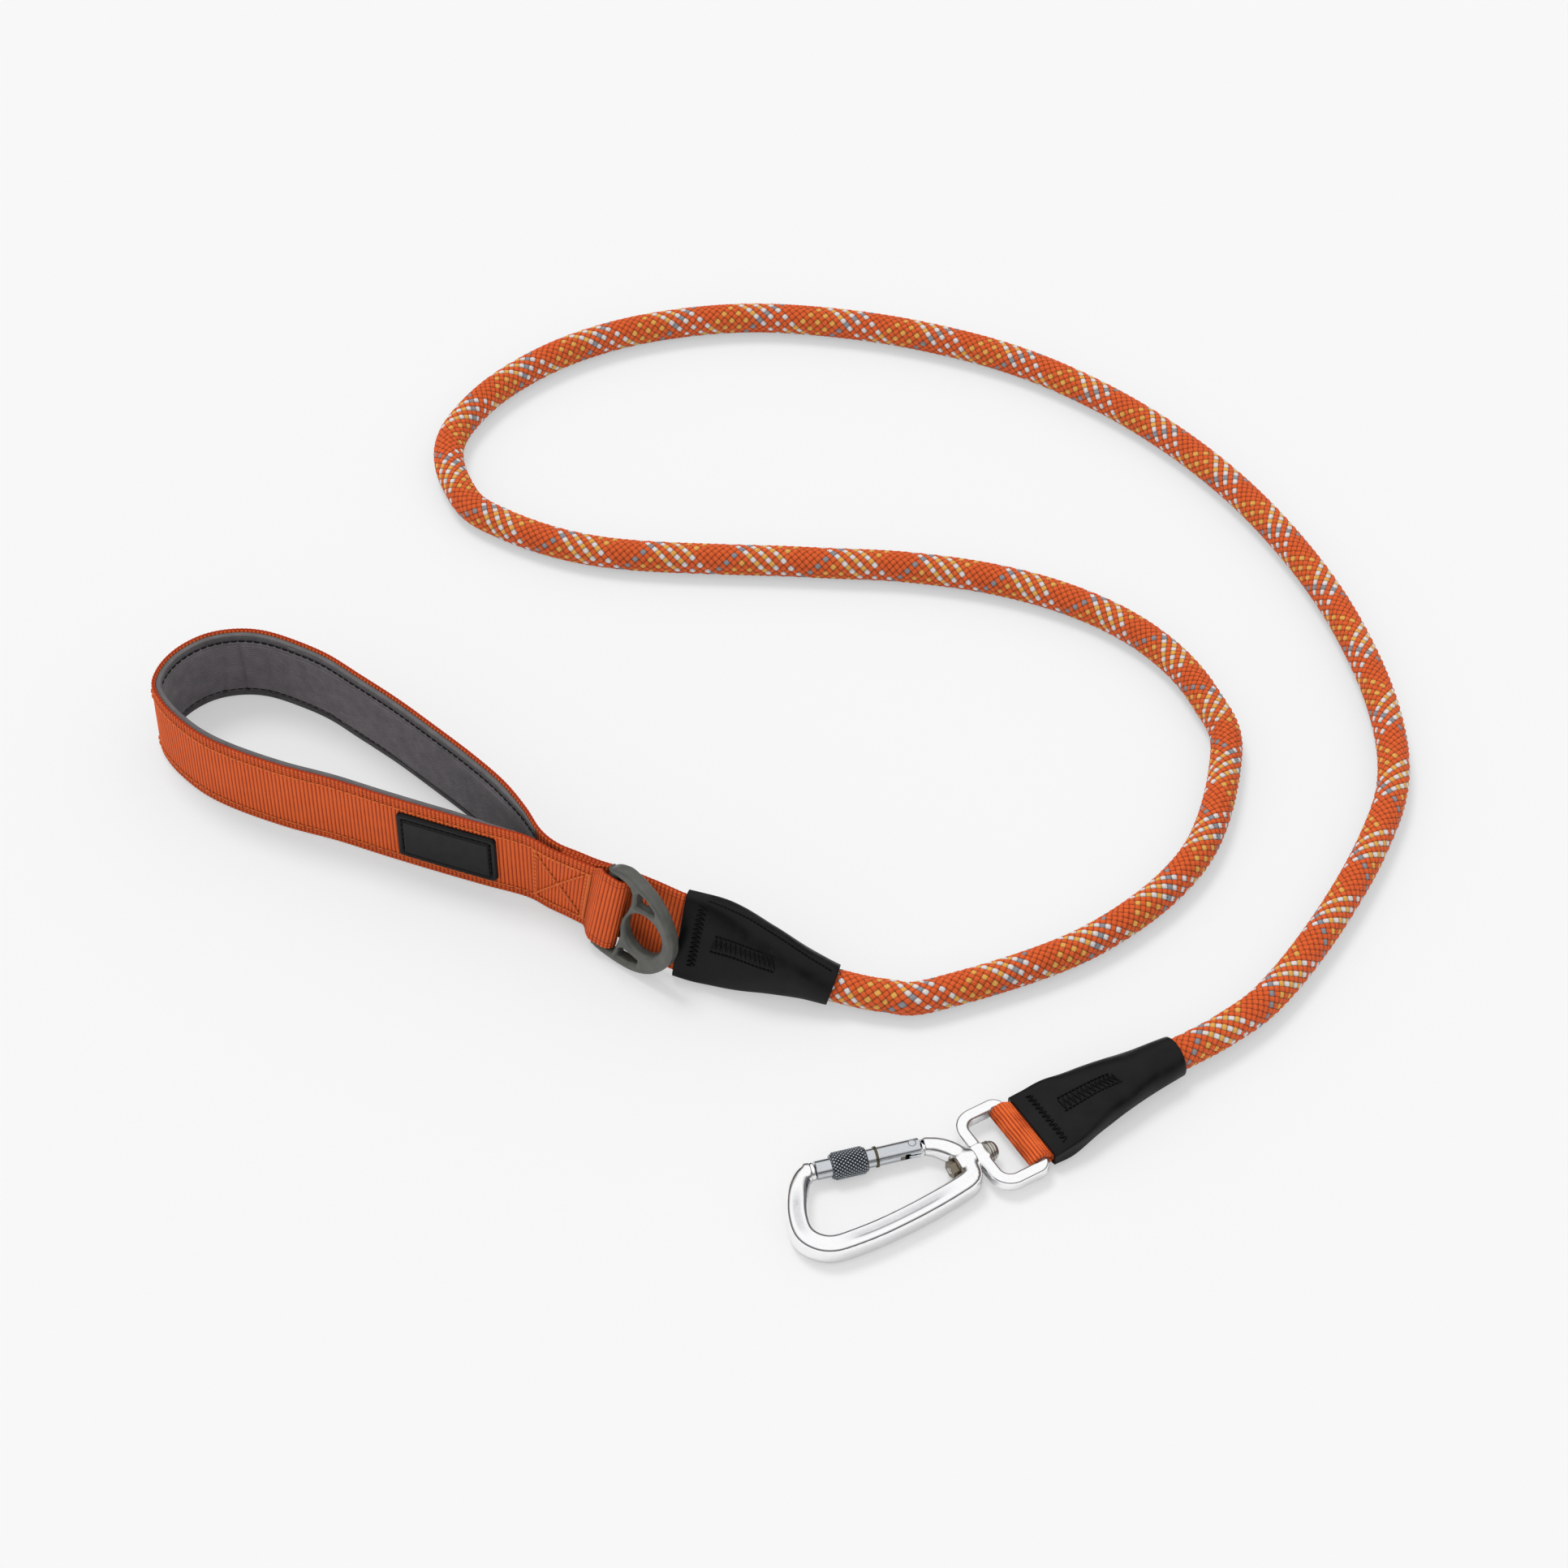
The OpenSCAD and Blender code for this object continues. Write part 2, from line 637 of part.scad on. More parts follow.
module swivel_pin() {
  color("#B9BABC")
    at_clip()
      rotate([0, 90, 0])
        rotate_extrude()
          polygon([
            [0, nut_to - 0.4], [pin_d / 2 - 0.3, nut_to - 0.4], [pin_d / 2, nut_to],
            [pin_d / 2, head_from], [pin_head_d / 2, head_from], [pin_head_d / 2, head_from + 0.6],
            [pin_head_d / 2 - 0.5, head_from + 1.5], [pin_head_d / 2 - 1.6, head_from + head_h],
            [0, head_from + head_h]
          ]);
}

module swivel_nut() {
  color("#B0B1B3")
    at_clip()
      translate([nut_to, 0, 0])
        rotate([0, 90, 0])
          difference() {
            union() {
              cylinder(d = nut_d, h = nut_l, $fn = 6);
              translate([0, 0, nut_l - 0.5])
                cylinder(d = nut_d + 0.6, h = 0.5);
            }
            translate([0, 0, -1])
              cylinder(d = pin_d, h = nut_l + 2);
          }
}

// ---- Gate frame: x from the rivet towards the nose, y outwards, z up ----
gate_pivot = [-16.5, 13.2];
gate_tilt = 15;
gate_back = 3.2;
gate_front = gate_l - gate_back;
module at_gate() {
  at_clip()
    translate([gate_pivot[0], gate_pivot[1], 0])
      rotate([0, 0, 180 - gate_tilt])
        mirror([0, 1, 0])
          children();
}

// ---- Carabiner body ----
nose_gap = 0.5;
nose_r = 2.95;
// Centre line, half width and half thickness of the bar as parts of the whole bar's, from the
// swivel barrel by the spine to the nose
// The far end of the body is drawn from the gate's tip, and follows it when the gate gets longer
gate_tip = [
  gate_pivot[0] - gate_l * cos(gate_tilt), gate_pivot[1] + gate_l * sin(gate_tilt), 0, 0
];
spine_end = [
  [-7.47, -28.9, 1, 1], [-10.67, -26.5, 1, 1], [-12.67, -22.9, 1, 1], [-12.87, -19.1, 1, 1],
  [-11.27, -14.1, 1, 1], [-8.67, -9.3, 1, 0.95], [-5.47, -4.7, 0.96, 0.86],
  [-2.47, -1.7, 0.91, 0.76], [-0.07, -0.5, 0.87, 0.72]
];
spine_line = concat(
  [[-4.9, -0.6, 0.8, 0.85], [-5.8, -4, 0.92, 0.92], [-8, -7, 1, 1], [-13.6, -8.1, 1, 1],
    [-23, -8.9, 1, 1], [-33, -9.2, 1, 1], [-43, -9, 1, 1], [-52.5, -8, 1, 1]],
  [for (p = spine_end) p + gate_tip]
);
arm_line = [
  [-4.6, 1, 0.7, 0.84], [-5.8, 3.8, 0.86, 0.86], [-7.9, 7.4, 0.9, 0.84], [-10, 10, 0.88, 0.77],
  [-12.1, 11.6, 0.85, 0.72]
];
function bar_rings(line, parts) =
  let (stations = resampled(line, parts), pts = [for (s = stations) [s[0], s[1], 0]])
  [for (i = [0:len(pts) - 1])
    let (
      t = heading(pts, i), side = cross([0, 0, 1], t),
      s = stations[i], w = s[2] * body_w / 2, h = s[3] * body_t / 2
    )
    oval(pts[i], w * side, [0, 0, h], 2 + 4 * max(0, s[3] - 0.75), 16)];

module carabiner_body() {
  color("#BFC0C2")
    union() {
      at_clip()
        difference() {
          union() {
            swept(bar_rings(spine_line, 2));
            swept(bar_rings(arm_line, 2));
            translate([barrel_to, 0, 0])
              rotate([0, 90, 0])
                cylinder(d = barrel_d, h = barrel_l);
          }
          translate([barrel_to - 3, 0, 0])
            rotate([0, 90, 0])
              cylinder(d = pin_hole_d, h = barrel_l + 4);
          translate([nut_to - 1, 0, 0])
            rotate([0, 90, 0])
              cylinder(d = nut_d + 1.4, h = nut_l + 1);
        }
      at_gate()
        difference() {
          union() {
            // Hinge tang with its heel, which the plunger presses
            translate([0, 0, -tang_t / 2])
              linear_extrude(tang_t)
                hull() {
                  circle(r = 1.8);
                  rotate(-45)
                    translate([2.3, 0])
                      circle(r = 0.3);
                  translate([-4.8, -1.8])
                    square([1, 3.6]);
                }
            // Nose end and the tang that the gate's slot takes
            translate([gate_front + nose_gap, 0, 0])
              rotate([0, 90, 0])
                cylinder(r = nose_r, h = 5);
            translate([gate_front - 4.4, -1.1, -1])
              cube([6, 1.1 + nose_r - 0.2, 2]);
          }
          translate([0, 0, -tang_t])
            cylinder(d = rivet_d + 2 * run_gap, h = 2 * tang_t, $fn = 32);
        }
    }
}

// ---- Gate ----
bore_to = 16.8;
stop_at = gate_front - 19.5;
stop_w = 0.8;
stop_groove_d = gate_d - 0.4;

module gate_tube() {
  color("#9AA3A8")
    at_gate()
      difference() {
        rotate([0, 90, 0])
          rotate_extrude()
            polygon([
              [0, -gate_back], [gate_d / 2 - 1, -gate_back], [gate_d / 2, 1 - gate_back],
              [gate_d / 2, stop_at - stop_w / 2 - 0.05], [stop_groove_d / 2, stop_at - stop_w / 2 - 0.05],
              [stop_groove_d / 2, stop_at + stop_w / 2 + 0.05], [gate_d / 2, stop_at + stop_w / 2 + 0.05],
              [gate_d / 2, gate_front - 0.2], [gate_d / 2 - 0.2, gate_front], [0, gate_front]
            ]);
        translate([-gate_back - 1, 0, 0])
          rotate([0, 90, 0])
            cylinder(d = gate_bore_d, h = bore_to + gate_back + 1);
        // Slot for the hinge tang, open towards the inside of the carabiner
        translate([-gate_back - 1, -gate_d, -tang_t / 2 - 0.1])
          cube([gate_back + 5.5, gate_d + 1, tang_t + 0.2]);
        // Slot for the nose tang, open towards the outside
        translate([gate_front - 4.8, -1.2, -1.15])
          cube([8, gate_d, 2.3]);
        translate([0, 0, -gate_d])
          cylinder(d = rivet_d + 2 * run_gap, h = 2 * gate_d, $fn = 32);
      }
}

module gate_rivet() {
  color("#8F9496")
    at_gate()
      union() {
        translate([0, 0, -gate_d / 2 - 0.1])
          cylinder(d = rivet_d, h = gate_d + 0.2, $fn = 32);
        for (side = [-1, 1])
          translate([0, 0, side * (gate_d / 2 + 0.2) - 0.15])
            cylinder(d = rivet_d + 0.7, h = 0.3, $fn = 32);
      }
}

module gate_stop_ring() {
  color("#8F9496")
    at_gate()
      translate([stop_at - stop_w / 2, 0, 0])
        rotate([0, 90, 0])
          difference() {
            cylinder(d = gate_d + 0.7, h = stop_w);
            translate([0, 0, -1])
              cylinder(d = stop_groove_d + 0.06, h = stop_w + 2);
          }
}

// Plunger and its spring inside the gate's bore
plunger_l = 4;
// Play between the plunger and the hinge tang's heel with the gate shut
plunger_play = 0.65;
plunger_at = 1.98 + plunger_play;
spring_gap = 0.2;
spring_turns = 7;
spring_from = plunger_at + plunger_l + spring_gap;
spring_to = bore_to - 0.1;
spring_pts = [for (i = [0:spring_turns * 12])
  let (r = gate_bore_d / 2 - wire_d / 2 - 0.15, f = i / (spring_turns * 12))
  [mix(spring_from + wire_d / 2, spring_to - wire_d / 2, f), r * cos(30 * i), r * sin(30 * i)]];

module gate_plunger() {
  color("#A3A6A8")
    at_gate()
      translate([plunger_at, 0, 0])
        rotate([0, 90, 0])
          cylinder(d = gate_bore_d - 2 * run_gap, h = plunger_l);
}

module gate_spring() {
  color("#B4B6B8")
    at_gate()
      swept([for (i = [0:len(spring_pts) - 1])
        let (t = heading(spring_pts, i), u = unit(cross([1, 0, 0], t)), v = cross(t, u))
        oval(spring_pts[i], wire_d / 2 * u, wire_d / 2 * v, 2, 6)]);
}

// ---- Lock sleeve ----
lock_from = gate_front - 5 - lock_l;
lock_bore_d = gate_d + 2 * run_gap;
groove_d = lock_bore_d + 1.4;
groove_w = 1.6;

module lock_sleeve() {
  color("#7C848C")
    at_gate()
      translate([lock_from, 0, 0])
        rotate([0, 90, 0])
          difference() {
            union() {
              rotate_extrude()
                polygon([
                  [0, 0], [lock_d / 2 - 0.6, 0], [lock_d / 2 - knurl_depth, 0.5],
                  [lock_d / 2 - knurl_depth, lock_l - 0.5], [lock_d / 2 - 0.6, lock_l], [0, lock_l]
                ]);
              for (i = [0:knurl_count - 1])
                rotate(360 * i / knurl_count)
                  translate([lock_d / 2 - 2 * knurl_depth, -0.2, 1.2])
                    cube([2 * knurl_depth, 0.4, lock_l - 2.4]);
            }
            translate([0, 0, -1])
              cylinder(d = lock_bore_d, h = lock_l + 2);
            translate([0, 0, lock_l / 2 - groove_w / 2])
              cylinder(d = groove_d, h = groove_w);
          }
}

module lock_friction_ring() {
  color("#1E1E20")
    at_gate()
      translate([lock_from + lock_l / 2, 0, 0])
        rotate([0, 90, 0])
          rotate_extrude($fn = 32)
            translate([gate_d / 2 + 0.38, 0])
              circle(r = 0.3, $fn = 12);
}

handle_webbing();
handle_lining();
lining_binding();
handle_stitching();
box_stitching();
label_patch();
label_stitching();
accessory_ring();
handle_sleeve();
handle_sleeve_stitching();
rope_sheath();
rope_core();
clip_sleeve();
clip_sleeve_stitching();
clip_webbing();
swivel_ring();
swivel_pin();
swivel_washers();
swivel_nut();
carabiner_body();
gate_tube();
gate_rivet();
gate_stop_ring();
gate_spring();
gate_plunger();
lock_friction_ring();
lock_sleeve();
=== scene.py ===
"""Looks of a rope dog leash: braided rope, webbing hand loop, leather sleeves and a swivel clip.

Shapes are worked out in millimetres in the row frame and put into meshes in metres.
"""

import logging
import math
from dataclasses import dataclass, field
from enum import Enum
from typing import Callable, Optional, Sequence

import bmesh
import bpy
import numpy as np
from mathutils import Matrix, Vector


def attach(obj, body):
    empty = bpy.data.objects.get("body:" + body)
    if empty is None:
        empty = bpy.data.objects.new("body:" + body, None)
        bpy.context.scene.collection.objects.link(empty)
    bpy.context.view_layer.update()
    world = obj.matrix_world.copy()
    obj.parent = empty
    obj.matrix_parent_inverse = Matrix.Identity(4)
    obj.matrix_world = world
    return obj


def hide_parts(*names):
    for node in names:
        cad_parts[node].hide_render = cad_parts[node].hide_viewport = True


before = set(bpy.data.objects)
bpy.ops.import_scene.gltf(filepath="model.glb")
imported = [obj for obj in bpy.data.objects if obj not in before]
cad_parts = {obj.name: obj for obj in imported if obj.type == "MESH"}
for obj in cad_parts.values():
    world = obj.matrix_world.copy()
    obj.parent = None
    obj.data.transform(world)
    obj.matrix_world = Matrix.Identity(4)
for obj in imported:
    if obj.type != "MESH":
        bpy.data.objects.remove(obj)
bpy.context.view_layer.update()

Array = np.ndarray
Piece = bpy.types.Object
Socket = bpy.types.NodeSocket

MM = 0.001
TURN = 2 * math.pi
UP = np.array([0.0, 0.0, 1.0])
log = logging.getLogger("leash")


# ---- Vectors and curves ----
def unit(v: Array) -> Array:
    """Unit vectors along the last axis."""
    v = np.asarray(v, float)
    return v / np.maximum(np.linalg.norm(v, axis=-1, keepdims=True), 1e-12)


def spline(points: Sequence, parts: int) -> Array:
    """Catmull-Rom curve through rows of any width, with a number of parts on each leg.

    Args:
        points: control rows, of which the first and last are doubled.
        parts: equal parts per leg.

    Returns:
        Rows of the curve, parts * (len(points) - 1) + 1 of them.
    """
    p = np.asarray(points, float)
    q = np.concatenate([p[:1], p, p[-1:]])
    f = (np.arange(parts) / parts)[None, :, None]
    a, b, c, d = (q[k : len(p) - 1 + k, None, :] for k in range(4))
    rows = 0.5 * (
        2 * b + (c - a) * f + (2 * a - 5 * b + 4 * c - d) * f**2 + (3 * b - a - 3 * c + d) * f**3
    )
    return np.concatenate([rows.reshape(-1, p.shape[1]), p[-1:]])


def lengths_along(points: Array) -> Array:
    """Length from the first of a row of points to each of them."""
    return np.r_[0, np.cumsum(np.linalg.norm(np.diff(points, axis=0), axis=1))]


def rows_at(at: Array, run: Array, rows: Array) -> Array:
    """Rows at other lengths, by straight lines between the rows that are given."""
    return np.stack([np.interp(at, run, column) for column in rows.T], -1)


def evenly(rows: Array, step: float) -> tuple[Array, Array]:
    """Rows at even steps of length along their first three columns.

    Args:
        rows: rows that start with a place.
        step: distance from row to row.

    Returns:
        The rows and the length at each.
    """
    run = lengths_along(rows[:, :3])
    at = np.arange(0, run[-1] + 1e-9, step)
    return rows_at(at, run, rows), at


def headings(points: Array) -> Array:
    """Unit headings along a row of points, by differences to both sides."""
    return unit(np.gradient(points, axis=0))


def stitches_along(line: Array, out: Array, pitch: float) -> tuple[Array, ...]:
    """Stitches along a line, one every pitch.

    Args:
        line: points of the line.
        out: outward directions at those points.
        pitch: distance from stitch to stitch.

    Returns:
        Middles, headings and outward directions of the stitches.
    """
    run = lengths_along(line)
    stops = np.arange(pitch / 2, run[-1], pitch)
    middles = rows_at(stops, run, line)
    return middles, headings(middles), rows_at(stops, run, out)


def softened(rows: Array, width: int) -> Array:
    """Rows under a moving average of an odd width, with the ends held.

    Args:
        rows: rows of any width.
        width: number of rows in the average.

    Returns:
        As many rows.
    """
    half = width // 2
    pad = np.concatenate([np.repeat(rows[:1], half, 0), rows, np.repeat(rows[-1:], half, 0)])
    total = np.cumsum(np.concatenate([np.zeros((1, rows.shape[1])), pad]), axis=0)
    return (total[width:] - total[:-width]) / width


def smooth_step(x: Array, lo: float, hi: float) -> Array:
    """Rises smoothly from 0 at lo to 1 at hi."""
    t = np.clip((np.asarray(x, float) - lo) / (hi - lo), 0, 1)
    return t * t * (3 - 2 * t)


def oval(angle: Array, power: Array) -> tuple[Array, Array]:
    """Points of a squared-up unit circle, spread evenly along its flat sides.

    Args:
        angle: angles.
        power: 2 for a circle, and more the squarer it is.

    Returns:
        The coordinates that go with the cosine and the sine.
    """
    c, w = np.cos(angle), np.sin(angle)
    reach = (np.abs(c) ** power + np.abs(w) ** power) ** (-1 / power)
    return reach * c, reach * w


# ---- Meshes ----
def make_piece(name: str, verts: Array, faces: list, uv: Optional[Array] = None) -> Piece:
    """Object at the origin with smooth shading and outward faces, from vertices in millimetres.

    Args:
        name: the piece's name.
        verts: vertices in millimetres, one row each.
        faces: lists of vertex indices.
        uv: a texture place for each corner of each face, in the faces' order.

    Returns:
        The object, in the scene.
    """
    mesh = bpy.data.meshes.new(name)
    mesh.from_pydata((np.asarray(verts) * MM).tolist(), [], faces)
    if uv is not None:
        mesh.uv_layers.new(name="UVMap").data.foreach_set("uv", np.asarray(uv, np.float32).ravel())
    face_out(mesh)
    mesh.polygons.foreach_set("use_smooth", np.ones(len(mesh.polygons), bool))
    piece = bpy.data.objects.new(name, mesh)
    bpy.context.scene.collection.objects.link(piece)
    return piece


def face_out(mesh: bpy.types.Mesh) -> None:
    """Turns a closed mesh's faces outwards where its signed volume is negative.

    Args:
        mesh: a mesh without openings.
    """
    shell = bmesh.new()
    shell.from_mesh(mesh)
    if shell.calc_volume(signed=True) < 0:
        bmesh.ops.reverse_faces(shell, faces=shell.faces[:])
        shell.to_mesh(mesh)
    shell.free()


def grid_mesh(grid: Array, u: Array, v: Array, loop: bool = False) -> tuple[Array, list, Array]:
    """Closed surface through a grid of points, rows along it and columns around it.

    Args:
        grid: points of shape (rows, columns, 3), of which the last column meets the first.
        u: texture place of each row, one more than the rows on a loop.
        v: texture place of each column, and of the first again.
        loop: whether the last row meets the first. Otherwise the two ends are capped.

    Returns:
        Vertices, faces and the texture place of each corner of each face.
    """
    rows, cols = grid.shape[:2]
    i = np.arange(rows if loop else rows - 1)[:, None]
    j = np.arange(cols)[None, :]
    corners = [(i, j), (i, j + 1), (i + 1, j + 1), (i + 1, j)]
    faces = np.stack([(a % rows) * cols + b % cols for a, b in corners], -1).reshape(-1, 4)
    u_all, v_all = np.asarray(u, float), np.asarray(v, float)
    places = np.stack(
        [np.stack(np.broadcast_arrays(u_all[a], v_all[b]), -1) for a, b in corners], -2
    ).reshape(-1, 2)
    listed = faces.tolist()
    if not loop:
        listed += [list(range(cols))[::-1], list(range((rows - 1) * cols, rows * cols))]
        near = np.stack([np.full(cols, u_all[0]), v_all[:cols][::-1]], -1)
        far = np.stack([np.full(cols, u_all[-1]), v_all[:cols]], -1)
        places = np.concatenate([places, near, far])
    return grid.reshape(-1, 3), listed, places


def grid_piece(name: str, grid: Array, u: Array, v: Array, loop: bool = False) -> Piece:
    """A piece of that name from grid_mesh's surface."""
    return make_piece(name, *grid_mesh(grid, u, v, loop))


@dataclass(frozen=True)
class Place:
    """A right-handed frame in the row frame, in millimetres."""

    origin: Array
    x: Array
    y: Array
    z: Array

    def out(self, points: Array) -> Array:
        """Points of this frame in the row frame."""
        p = np.asarray(points, float)
        return self.origin + p[..., :1] * self.x + p[..., 1:2] * self.y + p[..., 2:3] * self.z


def lathe(name: str, profile: Sequence, place: Place, hollow: bool, around: int = 64) -> Piece:
    """Turned piece about a place's x axis.

    Args:
        name: the piece's name.
        profile: rows of distance along x and radius.
        place: where the axis lies.
        hollow: whether the profile closes on itself. Otherwise its two ends are capped.
        around: number of columns.

    Returns:
        The piece.
    """
    p = np.asarray(profile, float)
    angle = TURN * np.arange(around)[None, :] / around
    grid = np.stack(np.broadcast_arrays(p[:, :1], p[:, 1:] * np.cos(angle), p[:, 1:] * np.sin(angle)), -1)
    return grid_piece(name, place.out(grid), np.arange(len(p) + 1), np.arange(around + 1), loop=hollow)


def stitch_run(
    name: str, centres: Array, along: Array, out: Array, length: object, width: float
) -> Piece:
    """One piece of many stitches, each a short thread that dives in at both ends.

    A stitch is a six-sided tube about a low arch, whose middle stands proud of its ends.

    Args:
        name: the piece's name.
        centres: middles of the stitches.
        along: their directions.
        out: outward directions at their middles.
        length: one for all or one for each.
        width: the thread's.

    Returns:
        The piece.
    """
    rings, sides = 7, 6
    length = np.broadcast_to(length, len(centres))[:, None]
    t = np.linspace(-1, 1, rings)
    rise = 0.45 * width * (1 - t**4)
    radius = 0.5 * width * np.sqrt(np.clip(1 - 0.55 * t**6, 0.1, 1))
    angle = np.arange(sides) * TURN / sides
    along, out = unit(along), unit(out)
    side = unit(np.cross(out, along))
    base = centres[:, None, None, :] + (0.5 * length * t)[:, :, None, None] * along[:, None, None, :]
    base = base + (rise - 0.25 * width)[None, :, None, None] * out[:, None, None, :]
    r = radius[None, :, None, None]
    ring = (
        r * np.cos(angle)[None, None, :, None] * side[:, None, None, :]
        + r * np.sin(angle)[None, None, :, None] * out[:, None, None, :]
    )
    verts = (base + ring).reshape(-1, 3)
    here, there = np.arange(rings - 1)[:, None] * sides, np.arange(1, rings)[:, None] * sides
    j = np.arange(sides)
    following = (j + 1) % sides
    quad = np.stack([here + j, here + following, there + following, there + j], -1).reshape(1, -1, 4)
    first = rings * sides * np.arange(len(centres))[:, None]
    quads = (quad + first[:, :, None]).reshape(-1, 4)
    caps = [first + j[::-1], first + (rings - 1) * sides + j]
    return make_piece(name, verts, quads.tolist() + np.concatenate(caps).tolist())


def dress(piece: Piece, finish: str, body: str, node: Optional[str]) -> Piece:
    """Gives a new piece its material, hangs it on its body and hides the node that it stands for.

    Args:
        piece: the piece.
        finish: its material.
        body: the body that it rides on.
        node: the node that it stands for, if any.

    Returns:
        The piece.
    """
    piece.data.materials.append(bpy.data.materials[finish])
    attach(piece, body)
    if node:
        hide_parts(node)
    return piece


# ---- Blended solids ----
Field = Callable[[Array, Array, Array], Array]


def rounded_box(a: Array, b: Array, corner: float | Array) -> Array:
    """Distance to a rounded rectangle, from how far a point lies past its flat sides."""
    a, b = a + corner, b + corner
    return np.hypot(np.maximum(a, 0), np.maximum(b, 0)) + np.minimum(np.maximum(a, b), 0) - corner


def blend_union(a: Array, b: Array, radius: float) -> Array:
    """Union of two fields with a fillet of about that radius."""
    h = np.maximum(radius - np.abs(a - b), 0) / radius
    return np.minimum(a, b) - h * h * radius / 4


def outline_distance(x: Array, y: Array, outline: Array) -> Array:
    """Signed distance in the plane to a closed outline, negative inside it.

    Args:
        x, y: coordinates.
        outline: the corners in order.

    Returns:
        The distances.
    """
    best = np.full(np.broadcast(x, y).shape, np.inf)
    inside = np.zeros(best.shape, bool)
    for a, b in zip(outline, np.roll(outline, -1, axis=0)):
        e = b - a
        t = np.clip(((x - a[0]) * e[0] + (y - a[1]) * e[1]) / (e @ e), 0, 1)
        best = np.minimum(best, np.hypot(x - a[0] - t * e[0], y - a[1] - t * e[1]))
        if a[1] != b[1]:
            inside ^= ((a[1] > y) != (b[1] > y)) & (x < a[0] + (y - a[1]) / (b[1] - a[1]) * e[0])
    return np.where(inside, -best, best)


def skin_of(
    name: str, solid: Field, lo: Sequence[float], hi: Sequence[float], step: float, place: Place,
    mask: Optional[Field] = None,
) -> Piece:
    """Piece whose surface is where a field is zero.

    A vertex stands in each cell that the surface crosses, at the mean of the crossings on its
    edges, and is then drawn onto the surface along the field's slope. Each crossed grid edge
    gives one face, through its four cells.

    Args:
        name: the piece's name.
        solid: the field, negative inside, in the place's own millimetres.
        lo: lowest corner of the grid.
        hi: highest corner of the grid.
        step: size of a cell.
        place: where the solid stands.
        mask: a value for the finish, kept as the first texture coordinate.

    Returns:
        The piece.
    """
    counts = [int(math.ceil((h - l) / step)) + 1 for l, h in zip(lo, hi)]
    axes = [l + step * np.arange(c) for l, c in zip(lo, counts)]
    f = solid(axes[0][:, None, None], axes[1][None, :, None], axes[2][None, None, :])
    f = np.broadcast_to(f, counts)
    cells = tuple(c - 1 for c in counts)
    total, number = np.zeros(cells + (3,)), np.zeros(cells)
    for axis in range(3):
        rest = [k for k in range(3) if k != axis]
        for first in (0, 1):
            for second in (0, 1):
                near = [0, 0, 0]
                near[rest[0]], near[rest[1]] = first, second
                far = list(near)
                far[axis] = 1
                f0 = f[tuple(slice(o, o + c) for o, c in zip(near, cells))]
                f1 = f[tuple(slice(o, o + c) for o, c in zip(far, cells))]
                cross = (f0 < 0) != (f1 < 0)
                total[..., axis] += np.where(cross, f0 / np.where(cross, f0 - f1, 1), 0)
                total[..., rest[0]] += cross * first
                total[..., rest[1]] += cross * second
                number += cross
    used = number > 0
    index = np.full(cells, -1)
    index[used] = np.arange(used.sum())
    p = np.argwhere(used) + total[used] / number[used][:, None]
    p = np.asarray(lo) + step * p
    for _ in range(2):
        value, slope = field_slope(solid, p, 0.05)
        move = -value[:, None] * slope / np.maximum((slope**2).sum(1), 0.05)[:, None]
        p = p + np.clip(move, -0.6 * step, 0.6 * step)
    faces = []
    for axis in range(3):
        rest = [k for k in range(3) if k != axis]
        low = [slice(1, -1)] * 3
        low[axis] = slice(0, counts[axis] - 1)
        high = list(low)
        high[axis] = slice(1, counts[axis])
        cross = (f[tuple(low)] < 0) != (f[tuple(high)] < 0)
        at = np.argwhere(cross)
        at[:, rest[0]] += 1
        at[:, rest[1]] += 1
        corner = []
        for da, db in ((-1, -1), (0, -1), (0, 0), (-1, 0)):
            c = at.copy()
            c[:, rest[0]] += da
            c[:, rest[1]] += db
            corner.append(index[c[:, 0], c[:, 1], c[:, 2]])
        quad = np.stack(corner, -1)
        leaving = (f[tuple(low)] < 0)[cross]
        flip = leaving if axis == 1 else ~leaving
        quad[flip] = quad[flip][:, ::-1]
        faces.append(quad)
    quads = np.concatenate(faces)
    value = mask(*p.T) if mask else np.zeros(len(p))
    return make_piece(name, place.out(p), quads.tolist(), np.stack([value, 0 * value], -1)[quads])


def field_slope(solid: Field, p: Array, gap: float) -> tuple[Array, Array]:
    """A field's values and slopes at points, by differences over a gap.

    Args:
        solid: the field.
        p: the points, one row each.
        gap: half of the way over which a slope is taken.

    Returns:
        Values and slopes.
    """
    x, y, z = p.T
    slope = np.stack(
        [
            solid(x + gap, y, z) - solid(x - gap, y, z),
            solid(x, y + gap, z) - solid(x, y - gap, z),
            solid(x, y, z + gap) - solid(x, y, z - gap),
        ],
        -1,
    ) / (2 * gap)
    return solid(x, y, z), slope


# ---- Shaders ----
def linear(r: int, g: int, b: int) -> tuple[float, float, float, float]:
    """A display colour from 0 to 255 as scene-linear RGBA.

    Args:
        r, g, b: red, green and blue.

    Returns:
        RGBA.
    """

    def channel(c: float) -> float:
        """One channel by the display's curve."""
        c = c / 255
        return c / 12.92 if c <= 0.04045 else ((c + 0.055) / 1.055) ** 2.4

    return channel(r), channel(g), channel(b), 1.0


